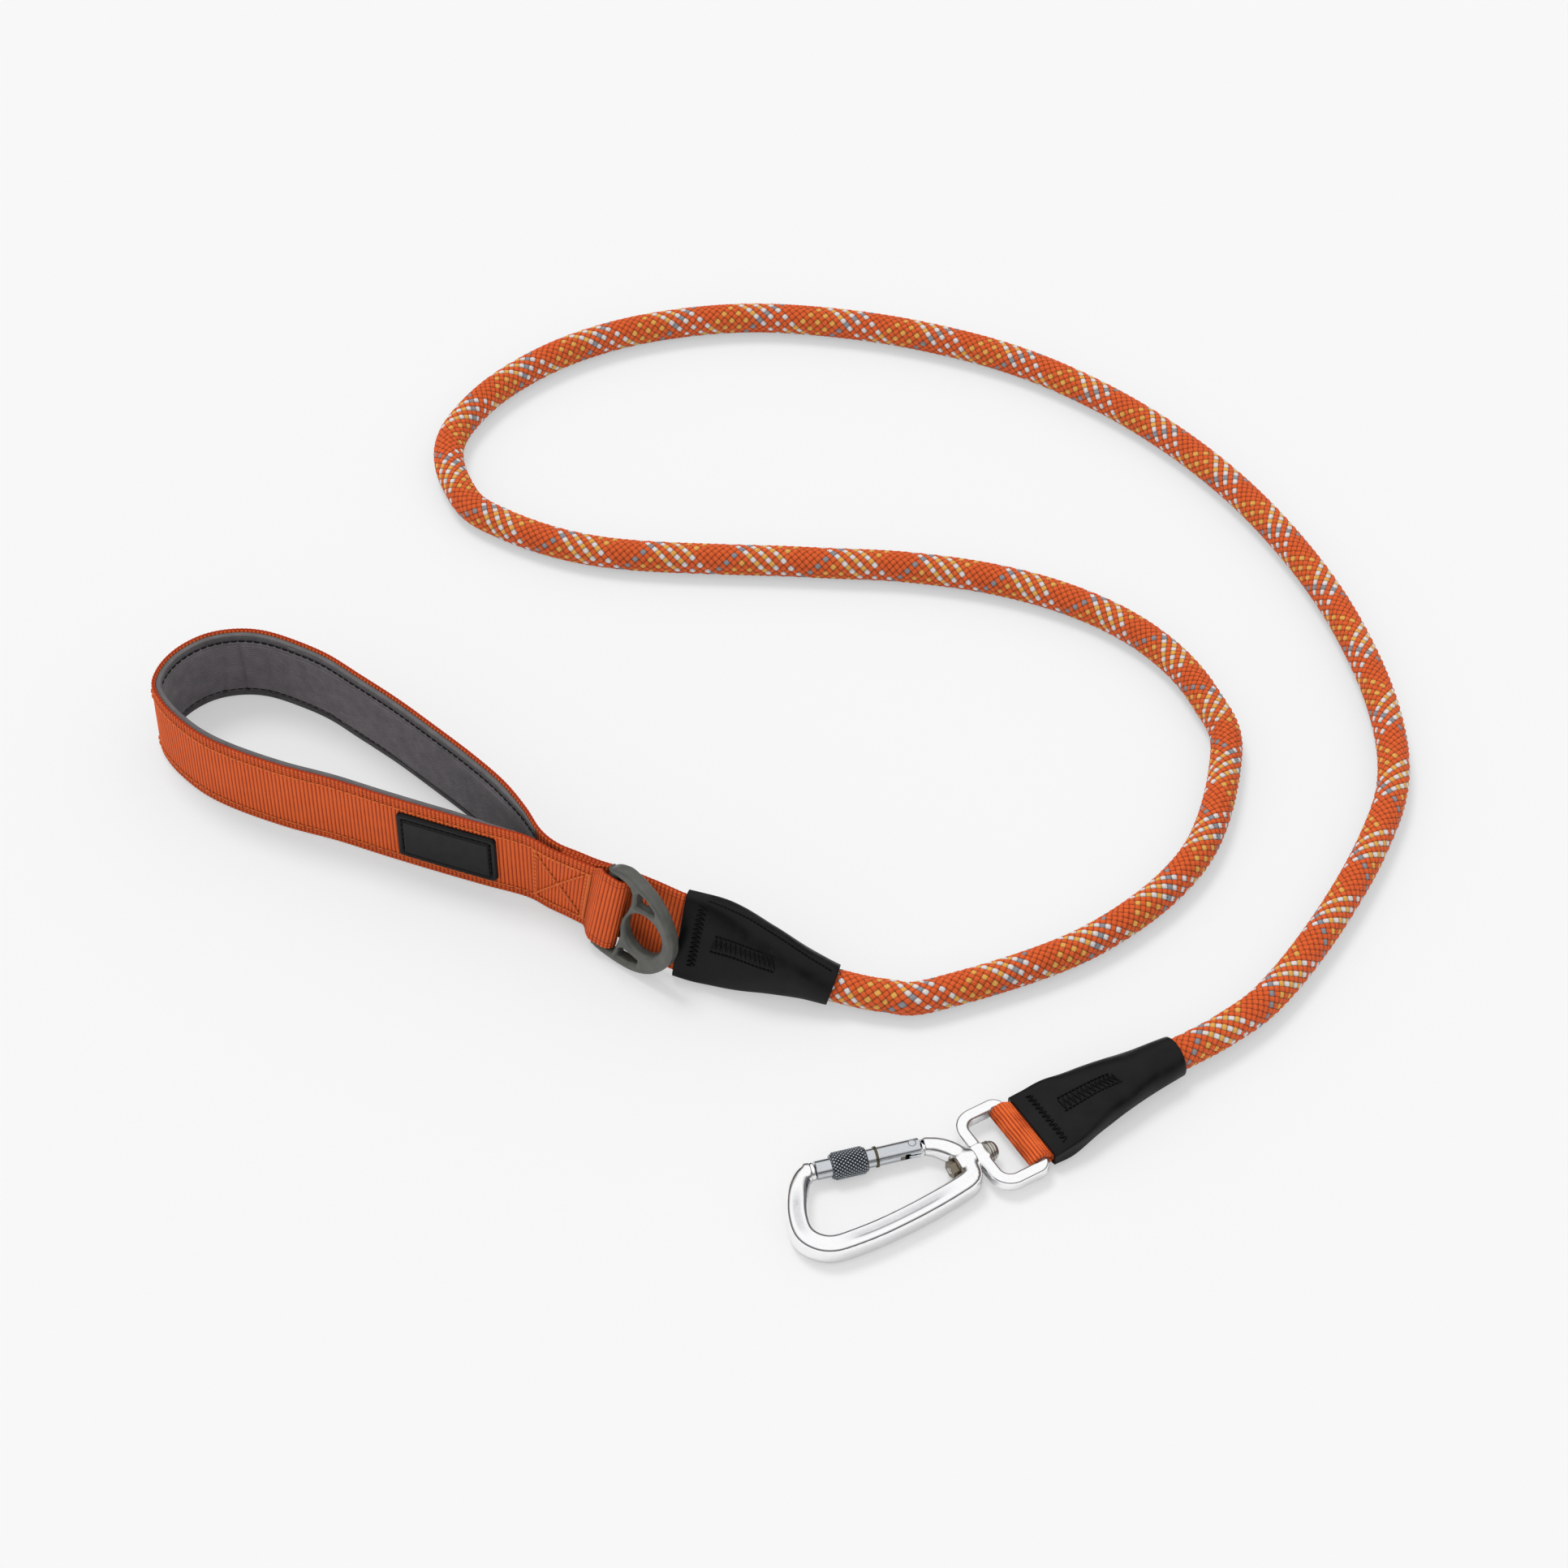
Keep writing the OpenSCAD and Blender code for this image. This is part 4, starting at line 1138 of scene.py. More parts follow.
# ---- Leather sleeves ----
@dataclass
class Sleeve:
    """Leather folded round the webbing's end and the rope's end and sewn.

    Rings are ovals whose power falls from nearly rectangular at the webbing to round at the
    rope. Stations give distance, height of the middle, half width, half thickness, power and
    lean in x and y.
    """

    name: str
    node: str
    stations: tuple
    thickness: float = 1.0

    @property
    def length(self) -> float:
        """Distance from the wide end to the rope's end."""
        return self.stations[-1][0]

    def frames(self, parts: int) -> tuple[Array, ...]:
        """Middle points, width directions, thickness directions and sizes along the sleeve."""
        raise NotImplementedError

    def wrinkles(self, s: Array, angle: Array) -> Array:
        """Small swells of the leather, as sums of slow waves along and around it.

        Args:
            s: distances from the wide end.
            angle: angles around.

        Returns:
            Heights of the swells.
        """
        wave = np.sin(0.21 * s + 2 * angle) * np.sin(0.13 * s + angle + 1.0)
        fold = np.sin(0.37 * s - 3 * angle + 0.7)
        return (0.16 * wave + 0.07 * fold) * smooth_step(s, 0, 6)

    def build(self) -> Piece:
        """Makes the leather wall with its rounded rims.

        Returns:
            The piece.
        """
        around = 144
        mid, wide, thick, size, s = self.frames(10)
        angle = TURN * np.arange(around)[None, :] / around
        heads = headings(mid)

        def wall(rows: Array, shrink: float, shift: float) -> Array:
            """Rings of some rows, drawn in by shrink and moved along the sleeve by shift.

            Args:
                rows: rows' numbers.
                shrink: how far they are drawn in.
                shift: how far they move along the sleeve.

            Returns:
                The rings.
            """
            swell = self.wrinkles(s[rows, None], angle) - shrink
            c, w = oval(angle, size[rows, 2, None])
            c, w = c * (size[rows, 1, None] + swell), w * (size[rows, 0, None] + swell)
            centre = (mid[rows] + shift * heads[rows])[:, None, :]
            return centre + c[..., None] * thick[rows, None, :] + w[..., None] * wide[rows, None, :]

        every = np.arange(len(mid))
        first, last = every[:1], every[-1:]
        t, rim, lip = self.thickness, 0.15, 0.12
        grid = np.concatenate(
            [
                wall(first, rim, -lip), wall(every, 0, 0), wall(last, rim, lip),
                wall(last, t - rim, lip), wall(every[::-1], t, 0), wall(first, t - rim, -lip),
            ]
        )  # fmt: skip
        # The leather lies flat where it meets the floor
        grid[..., 2] = np.maximum(grid[..., 2], 0.02)
        place = np.arange(len(grid) + 1)
        piece = grid_piece(self.name, grid, place, np.arange(around + 1), loop=True)
        return dress(piece, "Leather", "leash", self.node)

    def surface(self, s: Array, share: Array, face: int) -> tuple[Array, Array]:
        """Places on the leather, with the outward directions there.

        Args:
            s: distances from the wide end.
            share: distances from the middle line as parts of the half width.
            face: 1 for the face on the thickness direction's side, -1 for the other.

        Returns:
            The places and the directions, one row each.
        """
        mid, wide, thick, size, at = self.frames(10)

        def point(d: Array, f: Array) -> Array:
            """Points of the oval's face at distances d and shares f.

            Args:
                d: distances from the wide end.
                f: shares of the half width.

            Returns:
                The points.
            """
            centre, across, over, sizes = (rows_at(d, at, rows) for rows in (mid, wide, thick, size))
            power = sizes[:, 2]
            c = face * (1 - np.abs(f) ** power) ** (1 / power)
            swell = self.wrinkles(d, np.arctan2(f, c))
            c, w = c * (sizes[:, 1] + swell), f * (sizes[:, 0] + swell)
            return centre + c[:, None] * over + w[:, None] * across

        along = point(s + 0.3, share) - point(s - 0.3, share)
        about = point(s, share + 0.01) - point(s, share - 0.01)
        return point(s, share), face * unit(np.cross(about, along))


@dataclass
class HandleSleeve(Sleeve):
    """Sleeve from the hand loop's webbing to the rope."""

    wide_end: tuple[float, float] = (11.0, -1.7)
    heading: float = -15.5

    def axis(self, s: float, z: float) -> Array:
        """Point above the sleeve's plan line.

        Args:
            s: distance from the wide end.
            z: height.

        Returns:
            The point.
        """
        turn = math.radians(self.heading)
        x, y = self.wide_end
        return np.array([x + s * math.cos(turn), y + s * math.sin(turn), z])

    def frames(self, parts: int) -> tuple[Array, ...]:
        """The webbing stands on edge here, so the width runs up and the thickness sideways.

        Args:
            parts: rows from station to station.

        Returns:
            Rows as in the parent's.
        """
        rows = spline(self.stations, parts)
        mid = np.stack([self.axis(s, z) for s, z in rows[:, :2]])
        lean = np.concatenate([rows[:, 5:7], np.ones((len(rows), 1))], axis=1)
        side = unit(np.cross(lean, headings(mid)))
        top = np.cross(headings(mid), side)
        return mid, top, side, rows[:, 2:5], rows[:, 0]


@dataclass
class ClipSleeve(Sleeve):
    """Sleeve from the clip's webbing to the rope, along the clip's axis."""

    start: float = 19.2

    def frames(self, parts: int) -> tuple[Array, ...]:
        """The webbing lies flat here, so the width runs sideways and the thickness up.

        Args:
            parts: rows from station to station.

        Returns:
            Rows as in the parent's.
        """
        rows = spline(self.stations, parts)
        mid = CLIP.out(np.stack([self.start + rows[:, 0], 0 * rows[:, 0], rows[:, 1]], -1))
        wide = np.repeat(CLIP.y[None], len(rows), 0)
        return mid, -wide, np.repeat(UP[None], len(rows), 0), rows[:, 2:5], rows[:, 0]


HANDLE_SLEEVE = HandleSleeve(
    "handle_sleeve_leather",
    "handle_sleeve",
    (
        (0, 16.5, 15.8, 2.8, 5, 0.22, 0.3), (9, 15.7, 15.8, 3.9, 4.2, 0.21, 0.3),
        (17, 14.5, 14.9, 5.4, 3.2, 0.19, 0.28), (25, 12.7, 13.2, 6.7, 2.5, 0.15, 0.24),
        (33, 11, 11.4, 6.8, 2.2, 0.1, 0.16), (42, 9, 9.2, 6.8, 2, 0.04, 0.06),
        (50.6, 7, 7, 6.8, 2, 0, 0),
    ),
)  # fmt: skip
CLIP_SLEEVE = ClipSleeve(
    "clip_sleeve_leather",
    "clip_sleeve",
    (
        (0, -0.3, 13.5, 2.9, 8), (8, 0.3, 13.4, 3.9, 6), (16, 1.4, 12.2, 5.4, 3),
        (24, 2.2, 10.8, 6.6, 2.4), (32, 2.4, 9.5, 6.8, 2.1), (42, 2.4, 8, 6.8, 2),
        (53.5, 2.4, 6.8, 6.8, 2),
    ),
)  # fmt: skip
CLIP_TURN = math.radians(31)
CLIP = Place(
    np.array([104.5, -82.0, 4.5]),
    np.array([math.cos(CLIP_TURN), math.sin(CLIP_TURN), 0]),
    np.array([-math.sin(CLIP_TURN), math.cos(CLIP_TURN), 0]),
    UP,
)


@dataclass
class SleeveStitches:
    """Bar tacks and zigzag boxes sewn through a sleeve."""

    sleeve: Sleeve
    node: str
    thread: float = 0.58
    pitch: float = 1.3
    proud: float = 0.16

    def zigzag(self, corners: Sequence, count: int, face: int) -> tuple:
        """Middles and directions of the stitches of a zigzag between two lines.

        Args:
            corners: distance and share at the first line's start and end, then the second's.
            count: number of stitches.
            face: which face of the sleeve.

        Returns:
            Middles, directions and outward directions.
        """
        t = np.linspace(0, 1, count + 1)[:, None]
        low, high = ((1 - t) * np.array(corners[k]) + t * np.array(corners[k + 1]) for k in (0, 2))
        place = low + (high - low) * (np.arange(count + 1) % 2)[:, None]
        p, out = self.sleeve.surface(place[:, 0], place[:, 1], face)
        return (p[1:] + p[:-1]) / 2, p[1:] - p[:-1], unit(out[1:] + out[:-1])

    def line(self, start: tuple, end: tuple, face: int) -> tuple:
        """Middles and directions of a straight row of stitches."""
        place = np.linspace(start, end, 200)
        return stitches_along(*self.sleeve.surface(place[:, 0], place[:, 1], face), self.pitch)

    def build(self, runs: Sequence[tuple], name: str) -> Piece:
        """Makes all runs one piece; each stitch keeps its own length.

        Args:
            runs: what zigzag and line gave.
            name: the piece's name.

        Returns:
            The piece.
        """
        mids, ways, outs = (np.concatenate([run[k] for run in runs]) for k in range(3))
        # A zigzag's directions are as long as its stitches, and a row's are unit headings
        lengths = np.linalg.norm(ways, axis=1)
        long = np.where(lengths > 1.01, lengths, self.pitch * 0.85)
        mids = mids + outs * self.proud
        # Those underneath are pressed into the leather
        mids[:, 2] = np.maximum(mids[:, 2], 0.65)
        piece = stitch_run(name, mids, ways, outs, long, self.thread)
        return dress(piece, "Black_Thread", "leash", self.node)


# ---- The hand loop ----
@dataclass
class HandLoop:
    """Webbing strap, its padded lining, the rows that sew them and the rubber label.

    The strap is a rounded bar carried along a path that stands on edge: its face has ribs
    across it, one every pitch, which break up into beads along both edges. Rows of its path
    give a place, how far the strap leans in x and y, and its half width.
    """

    half: float = 15.0
    thickness: float = 1.4
    pitch: float = 1.45
    rib: float = 0.36
    band: float = 3.6
    lift: float = 0.02
    gap: float = 0.1
    bar_radius: float = 2.0
    keeper_at: tuple = (-12.5, 7.6, 19.1)
    keeper_lean: tuple = (0.2, 0.09)
    keeper_heading: float = -32.9
    reach: float = 2.2
    lining_half: float = 13.8
    lining_thickness: float = 2.5
    seam_at: float = 11.4
    stitch_pitch: float = 2.6
    label_half: float = 9.9
    label_corner: float = 1.6
    leg_parts: int = 12
    strap_in: tuple = (
        (10.4, -0.7, 16.5, 0.21, 0.28, 14.5), (0.5, 5.8, 16.7, 0.17, 0.16, 15),
        (-9.2, 12.1, 16.8, 0.16, 0.06, 15), (-16.8, 17, 16.5, 0.13, -0.035, 15),
        (-23.1, 21.1, 16, 0.09, -0.04, 15), (-29.7, 25.4, 15.4, 0.05, -0.03, 15),
    )  # fmt: skip
    loop_plan: tuple = (
        (-34.6, 31.2), (-39.8, 41), (-47.4, 52.4), (-58.2, 64.3), (-71, 76.8), (-84.3, 89.3),
        (-97.7, 100.6), (-109.3, 110.1), (-121, 116.8), (-131, 121), (-139.5, 122.2),
        (-148, 121), (-155, 117.8), (-161.5, 112), (-166, 104.4), (-167.4, 96), (-164, 88),
        (-157.7, 80), (-149, 72.1), (-137.5, 65.3), (-121, 58), (-104.5, 52.3), (-88, 45.5),
        (-71, 38.8), (-54.5, 32.6), (-40.4, 27.6),
    )  # fmt: skip
    strap_box: tuple = (
        (-32.1, 21.7, 15.5, 0.06, -0.036, 15), (-25.5, 17.4, 16.1, 0.1, -0.046, 15),
        (-19.2, 13.3, 16.6, 0.15, -0.048, 15),
    )  # fmt: skip
    tail: tuple = (
        (-17.6, 15.75, 16.6, 0.13, -0.035, 15), (-23.9, 19.85, 16, 0.09, -0.04, 15),
        (-28.1, 22.6, 15.7, 0.07, -0.035, 15),
    )  # fmt: skip
    marks: dict = field(default_factory=dict)

    def keeper(self) -> Place:
        """Frame of the keeper bar: x along the strap, y out of its face, z up the bar.

        Returns:
            The frame.
        """
        top = unit([*self.keeper_lean, 1])
        turn = math.radians(self.keeper_heading)
        plan = np.array([math.cos(turn), math.sin(turn), 0])
        along = unit(plan - (plan @ top) * top)
        return Place(np.array(self.keeper_at), along, np.cross(along, top), top)

    def stations(self) -> Array:
        """Rows of x, y, z, lean x, lean y and half width of the strap's outer face.

        Returns:
            The rows.
        """
        start = HANDLE_SLEEVE.axis(HANDLE_SLEEVE.length - 27.6, 12)
        inner = [
            (start[0] + 0.2, start[1] + 0.6, start[2], 0.15, 0.24, 9),
            (26.6, -5.3, 14.4, 0.19, 0.28, 12),
            (18.8, -3.1, 15.7, 0.21, 0.3, 14.4),
        ]
        loop = [(x, y, self.half + self.lift, 0, 0, self.half) for x, y in self.loop_plan]
        strap = spline([*inner, *self.strap_in, *loop, *self.strap_box], self.leg_parts)
        place = self.keeper()
        r = self.bar_radius + self.gap + self.thickness
        turns = np.radians(np.arange(0, 181, 6))
        bends = [[-5, r - 1.4], [-2.8, r], [0, r]]
        bends += [[self.reach + r * math.sin(t), r * math.cos(t)] for t in turns] + [[-1, -r]]
        flat = np.array([[a, d, 0] for a, d in bends])
        lean = np.repeat([[*self.keeper_lean, self.half]], len(bends), 0)
        wrap = np.concatenate([place.out(flat), lean], axis=1)
        self.marks["strap"] = len(strap)
        return np.concatenate([strap, wrap, np.array(self.tail)])

    def frames(self) -> tuple[Array, ...]:
        """Points of the outer face, up, inward directions, half widths and lengths.

        Returns:
            As many rows of each.
        """
        coarse = self.stations()
        run = lengths_along(coarse[:, :3])
        # Where loop, label and box begin or end, by the number of the control row
        legs = {"loop_from": 9, "loop_to": 34, "label_from": 31.35, "label_to": 33.35, "box_from": 34.4}
        for name, leg in legs.items():
            self.marks[name] = float(run[int(leg * self.leg_parts)])
        self.marks["box_to"] = float(run[self.marks["strap"] - 1])
        rows, s = evenly(coarse, self.pitch / 4)
        rows = softened(rows, 5)
        top = unit(np.concatenate([rows[:, 3:5], np.ones((len(rows), 1))], axis=1))
        inward = unit(np.cross(top, headings(rows[:, :3])))
        return rows[:, :3], top, inward, rows[:, 5], s

    def section(self) -> tuple[Array, Array, Array]:
        """Columns round the strap: share of the half width, depth and how far ribs show.

        Returns:
            The three, for each column.
        """
        face = np.r_[np.linspace(-1, -0.76, 13), np.linspace(-0.66, 0.66, 9), np.linspace(0.76, 1, 13)]
        back = np.linspace(0.98, -0.98, 11)
        width = np.r_[face * 0.992, 1.0, 1.0, back * 0.992, -1.0, -1.0]
        t = self.thickness
        depth = np.r_[np.zeros(len(face)), 0.35 * t, 0.65 * t, np.full(len(back), t), 0.65 * t, 0.35 * t]
        show = np.r_[np.ones(len(face)), 0.3, 0.3, np.full(len(back), -0.8), 0.3, 0.3]
        return width, depth, show

    def build_webbing(self) -> Piece:
        """Makes the strap, with ribs as waves along it and beads in the edge bands.

        Returns:
            The piece.
        """
        p, top, inward, half, s = self.frames()
        width, depth, show = self.section()
        w = width[None, :] * half[:, None]
        wave = np.abs(np.sin(math.pi * s / self.pitch + 0.4))[:, None] ** 0.8
        bead = np.abs(np.sin(math.pi * np.abs(w) / BEAD_PITCH)) ** 0.5
        band = smooth_step(np.abs(w), self.half - self.band - 0.3, self.half - self.band + 0.3)
        ridge = wave * (1 - band + band * (0.35 + 0.65 * bead))
        # The ribs are pressed flat where the strap turns about the ring's bar
        bend = self.marks["box_to"]
        pressed = smooth_step(s, bend + 1, bend + 2) * (1 - smooth_step(s, bend + 7, bend + 9))
        calm = 1 - 0.75 * pressed
        valley = self.rib * (1 - ridge * calm[:, None])
        d = depth[None, :] + np.where(show[None, :] > 0, valley, -valley) * np.abs(show[None, :])
        grid = p[:, None, :] + d[..., None] * inward[:, None, :] + w[..., None] * top[:, None, :]
        along, across = s + 0.4 * self.pitch / math.pi, np.r_[width, width[0]] * self.half
        piece = grid_piece("handle_webbing_strap", grid, along, across)
        return dress(piece, "Orange_Webbing", "leash", "handle_webbing")

    def lining_rows(self) -> tuple[Array, ...]:
        """Frames of the lining's outer side and its thickness, which thins out at both ends.

        Returns:
            Points, up and inward directions, lengths and thicknesses.
        """
        p, top, inward, _, s = self.frames()
        pick = (s >= self.marks["loop_from"]) & (s <= self.marks["loop_to"] - 3)
        pick &= np.arange(len(s)) % 2 == 0
        s = s[pick]
        ends = np.minimum(s - s[0], s[-1] - s)
        full = self.lining_thickness * (0.2 + 0.8 * smooth_step(ends, 0, 24))
        return p[pick], top[pick], inward[pick], s, full

    def build_lining(self) -> Piece:
        """Makes the padded lining.

        The padding's inner face is crowned between the two stitch rows, which pull it in, and
        carries slow swells and a few sewn-in creases.

        Returns:
            The piece.
        """
        p, top, inward, s, full = self.lining_rows()
        w = np.linspace(-1, 1, 41) * self.lining_half
        seam = np.exp(-(((np.abs(w) - self.seam_at - 0.1) / 0.9) ** 2))
        crown = 1 - 0.3 * seam - 0.3 * smooth_step(np.abs(w), 10.5, 12.2)
        run, across = (s - s[0])[:, None], w[None, :]
        swell = 0.18 * np.sin(run / 17 + 0.12 * across) + 0.1 * np.sin(run / 6.3 - 0.3 * across)
        # Creases: place, slant, width and depth
        creases = ((143, 0.05, 0.6, 1.1), (150, -0.1, 0.7, 1.0), (110, 0.9, 0.9, -0.4), (118, 1.1, 0.9, 0.5))
        crease = sum(
            depth * np.exp(-(((run - at - slant * across) / wide) ** 2))
            for at, slant, wide, depth in creases
        )
        thick = full[:, None]
        soft = (swell - crease) * (1 - seam)[None, :] * 0.8 * (thick / self.lining_thickness)
        outer = np.full((len(s), len(w)), self.thickness + self.gap)
        inner = self.thickness + self.gap + thick * crown[None, :] + soft
        edge = p[:, None, :] + w[None, :, None] * top[:, None, :]
        back, face = (edge + depth[..., None] * inward[:, None, :] for depth in (outer, inner))
        grid = np.concatenate([back, face[:, ::-1]], axis=1)
        lining = grid_piece("handle_lining_pad", grid, s, np.r_[w, w[::-1], w[0]])
        dress(lining, "Grey_Lining", "leash", "handle_lining")
        return lining

    def build_binding(self) -> Piece:
        """Makes the grey tape along the lining's two edges.

        Its section runs from the back over the edge to the stitch row on the inner face.

        Returns:
            The piece.
        """
        p, top, inward, s, full = self.lining_rows()
        low, high = 12.4, 14.35
        over = np.array([high, high, high - 0.1, 13.4, 12.9, low, low, 13.1, 13.8])
        share = np.array([0.0, 0.5, 0.78, 0.84, 0.84, 0.78, 0.6, 0.6, 0.0])
        verts, faces, places, offset = [], [], [], 0
        for side in (-1, 1):
            # The upper tape's columns run the other way, so that its faces point outwards too
            across, deep = over[:: -side], share[:: -side]
            depth = self.thickness + self.gap + full[:, None] * deep[None, :] * 0.92 + 0.02
            grid = p[:, None, :] + depth[..., None] * inward[:, None, :]
            grid = grid + side * across[None, :, None] * top[:, None, :]
            corners, quads, texture = grid_mesh(grid, s, np.r_[across, across[0]])
            faces += [[corner + offset for corner in quad] for quad in quads]
            verts.append(corners)
            places.append(texture)
            offset += len(corners)
        binding = make_piece("lining_edge_tape", np.concatenate(verts), faces, np.concatenate(places))
        return dress(binding, "Grey_Tape", "leash", "lining_binding")

    def strip(
        self, s0: float, s1: float, w0: float, w1: float, pitch: float, depth: float
    ) -> tuple[Array, ...]:
        """Middles, headings and outward directions of a row of stitches on the strap.

        Args:
            s0: length at the row's start.
            s1: length at its end.
            w0: height at its start.
            w1: height at its end.
            pitch: distance from stitch to stitch.
            depth: depth below the outer face, negative to stand proud.

        Returns:
            The three, one row for each stitch.
        """
        p, top, inward, _, s = self.frames()
        at = np.linspace(s0, s1, 400)
        w = np.linspace(w0, w1, 400)
        middle, up, into = (rows_at(at, s, rows) for rows in (p, top, inward))
        return stitches_along(middle + w[:, None] * up + depth * into, -into, pitch)

    def sewn(
        self, name: str, runs: list, length: float, width: float, material: str, slot: str,
        node: Optional[str],
    ) -> Piece:
        """One piece of several rows.

        Args:
            name: the piece's name.
            runs: middles, directions and outward directions of each row's stitches.
            length: a stitch's length.
            width: the thread's width.
            material: the thread's finish.
            slot: not used.
            node: the node that the piece stands for, if any.

        Returns:
            The piece.
        """
        mids, ways, outs = (np.concatenate([run[k] for run in runs]) for k in range(3))
        piece = stitch_run(name, mids, ways, outs, length, width)
        return dress(piece, material, "leash", node)

    def build_stitches(self) -> list[Piece]:
        """Sews the rows along the loop, on both faces, and the box with its cross.

        Returns:
            The pieces.
        """
        m, pitch = self.marks, self.stitch_pitch
        rows, inner = [], []
        p, top, inward, _, full = self.lining_rows()
        depth = self.thickness + self.gap + full * 0.53 + 0.1
        for side in (-1, 1):
            w = side * self.seam_at
            rows.append(self.strip(m["loop_from"] + 2, m["box_from"], w, w, pitch, -0.12))
            line = p + depth[:, None] * inward + side * (self.seam_at + 0.05) * top
            inner.append(stitches_along(line, inward, pitch))
        orange = ("Orange_Thread", "orange_thread")
        loop = self.sewn("loop_stitch_rows", rows, 2.1, 0.55, *orange, "handle_stitching")
        lining = self.sewn("lining_stitch_rows", inner, 2.2, 0.6, "Dark_Thread", "black_thread", None)
        # The box: its sides, its cross and two columns at each end
        a, b, h, cross = m["box_from"], m["box_to"], 11.2, 9.5
        runs = [self.strip(a, b, side * h, side * h, 1.9, -0.14) for side in (-1, 1)]
        runs += [self.strip(a + 1, b - 3, -side * cross, side * cross, 1.9, -0.14) for side in (-1, 1)]
        for column in (a, a + 0.8, b - 1.7, b - 0.9):
            runs.append(self.strip(column, column + 0.01, -h, h, 1.9, -0.14))
        box = self.sewn("box_stitch_rows", runs, 1.6, 0.8, *orange, "box_stitching")
        slant = self.end_column(b - 0.6, h)
        end = self.sewn("box_end_zigzag", [slant], 1.9, 0.8, *orange, None)
        return [loop, lining, box, end]

    def end_column(self, at: float, height: float) -> tuple[Array, ...]:
        """A dense column of slanted stitches up the strap.

        Args:
            at: the column's length along the strap.
            height: half of its height.

        Returns:
            As strip's.
        """
        mid, way, out = self.strip(at, at + 0.01, -height, height, 0.75, -0.2)
        ahead = self.strip(at + 1, at + 1.01, -height, height, 0.75, -0.2)[0] - mid
        return mid, unit(ahead) + 0.55 * way, out

    def build_label(self) -> list[Piece]:
        """Makes the rubber label with its rounded corners, stitched channel and raised bare field.

        The label is a sheet over the strap's face: its height above the face is a base that
        rounds off at the edge, a rim, a narrow channel and a raised field inside it.

        Returns:
            The label and its stitches.
        """
        p, top, inward, _, s = self.frames()
        s0, s1 = self.marks["label_from"], self.marks["label_to"]
        half_l, half_h, corner = (s1 - s0) / 2, self.label_half, self.label_corner
        x = np.linspace(-half_l, half_l, 161)
        y = np.linspace(-half_h, half_h, 97)
        past_x, past_y = np.abs(x)[:, None] - half_l, np.abs(y)[None, :] - half_h
        edge = -rounded_box(past_x, past_y, corner)
        round_off = np.sqrt(np.clip(1 - (1 - np.clip(edge / 0.5, 0, 1)) ** 2, 0, 1))
        channel = np.exp(-(((edge - 2.0) / 0.42) ** 2))
        height = 1.35 * round_off + 0.35 * smooth_step(edge, 2.1, 2.8) - 0.6 * channel
        height = np.where(edge < 0, 0.0, height)
        middle, up, into = (rows_at(x + (s0 + s1) / 2, s, rows) for rows in (p, top, inward))
        # Corners: points outside the rounded outline are drawn in onto it
        slip = np.clip(-edge, 0, None)
        past_x, past_y = past_x + corner, past_y + corner
        pull = 1 - slip / np.maximum(np.hypot(past_x, past_y), 1e-6)
        in_x = np.sign(x)[:, None] * (half_l - corner + past_x * pull)
        in_y = np.sign(y)[None, :] * (half_h - corner + past_y * pull)
        slide = np.where(slip > 0, in_x - x[:, None], 0.0)[..., None] * headings(middle)[:, None, :]
        rise = np.where(slip > 0, in_y, y[None, :])[..., None] * up[:, None, :]
        back = middle[:, None, :] + slide + rise
        front = back - (height + 0.05)[..., None] * into[:, None, :]
        grid = np.concatenate([front, back[:, ::-1]], axis=1)
        label = grid_piece("label_plate", grid, x, np.r_[y, y[::-1], y[0]])
        dress(label, "Label_Rubber", "leash", "label_patch")
        m0, m1, h = s0 + 2.0, s1 - 2.0, half_h - 2.0
        runs = [self.strip(m0, m1, side * h, side * h, 2.2, -1.05) for side in (-1, 1)]
        runs += [self.strip(at, at + 0.01, -h, h, 2.2, -1.05) for at in (m0, m1)]
        thread = ("Black_Thread", "black_thread", "label_stitching")
        return [label, self.sewn("label_stitches", runs, 1.7, 0.5, *thread)]


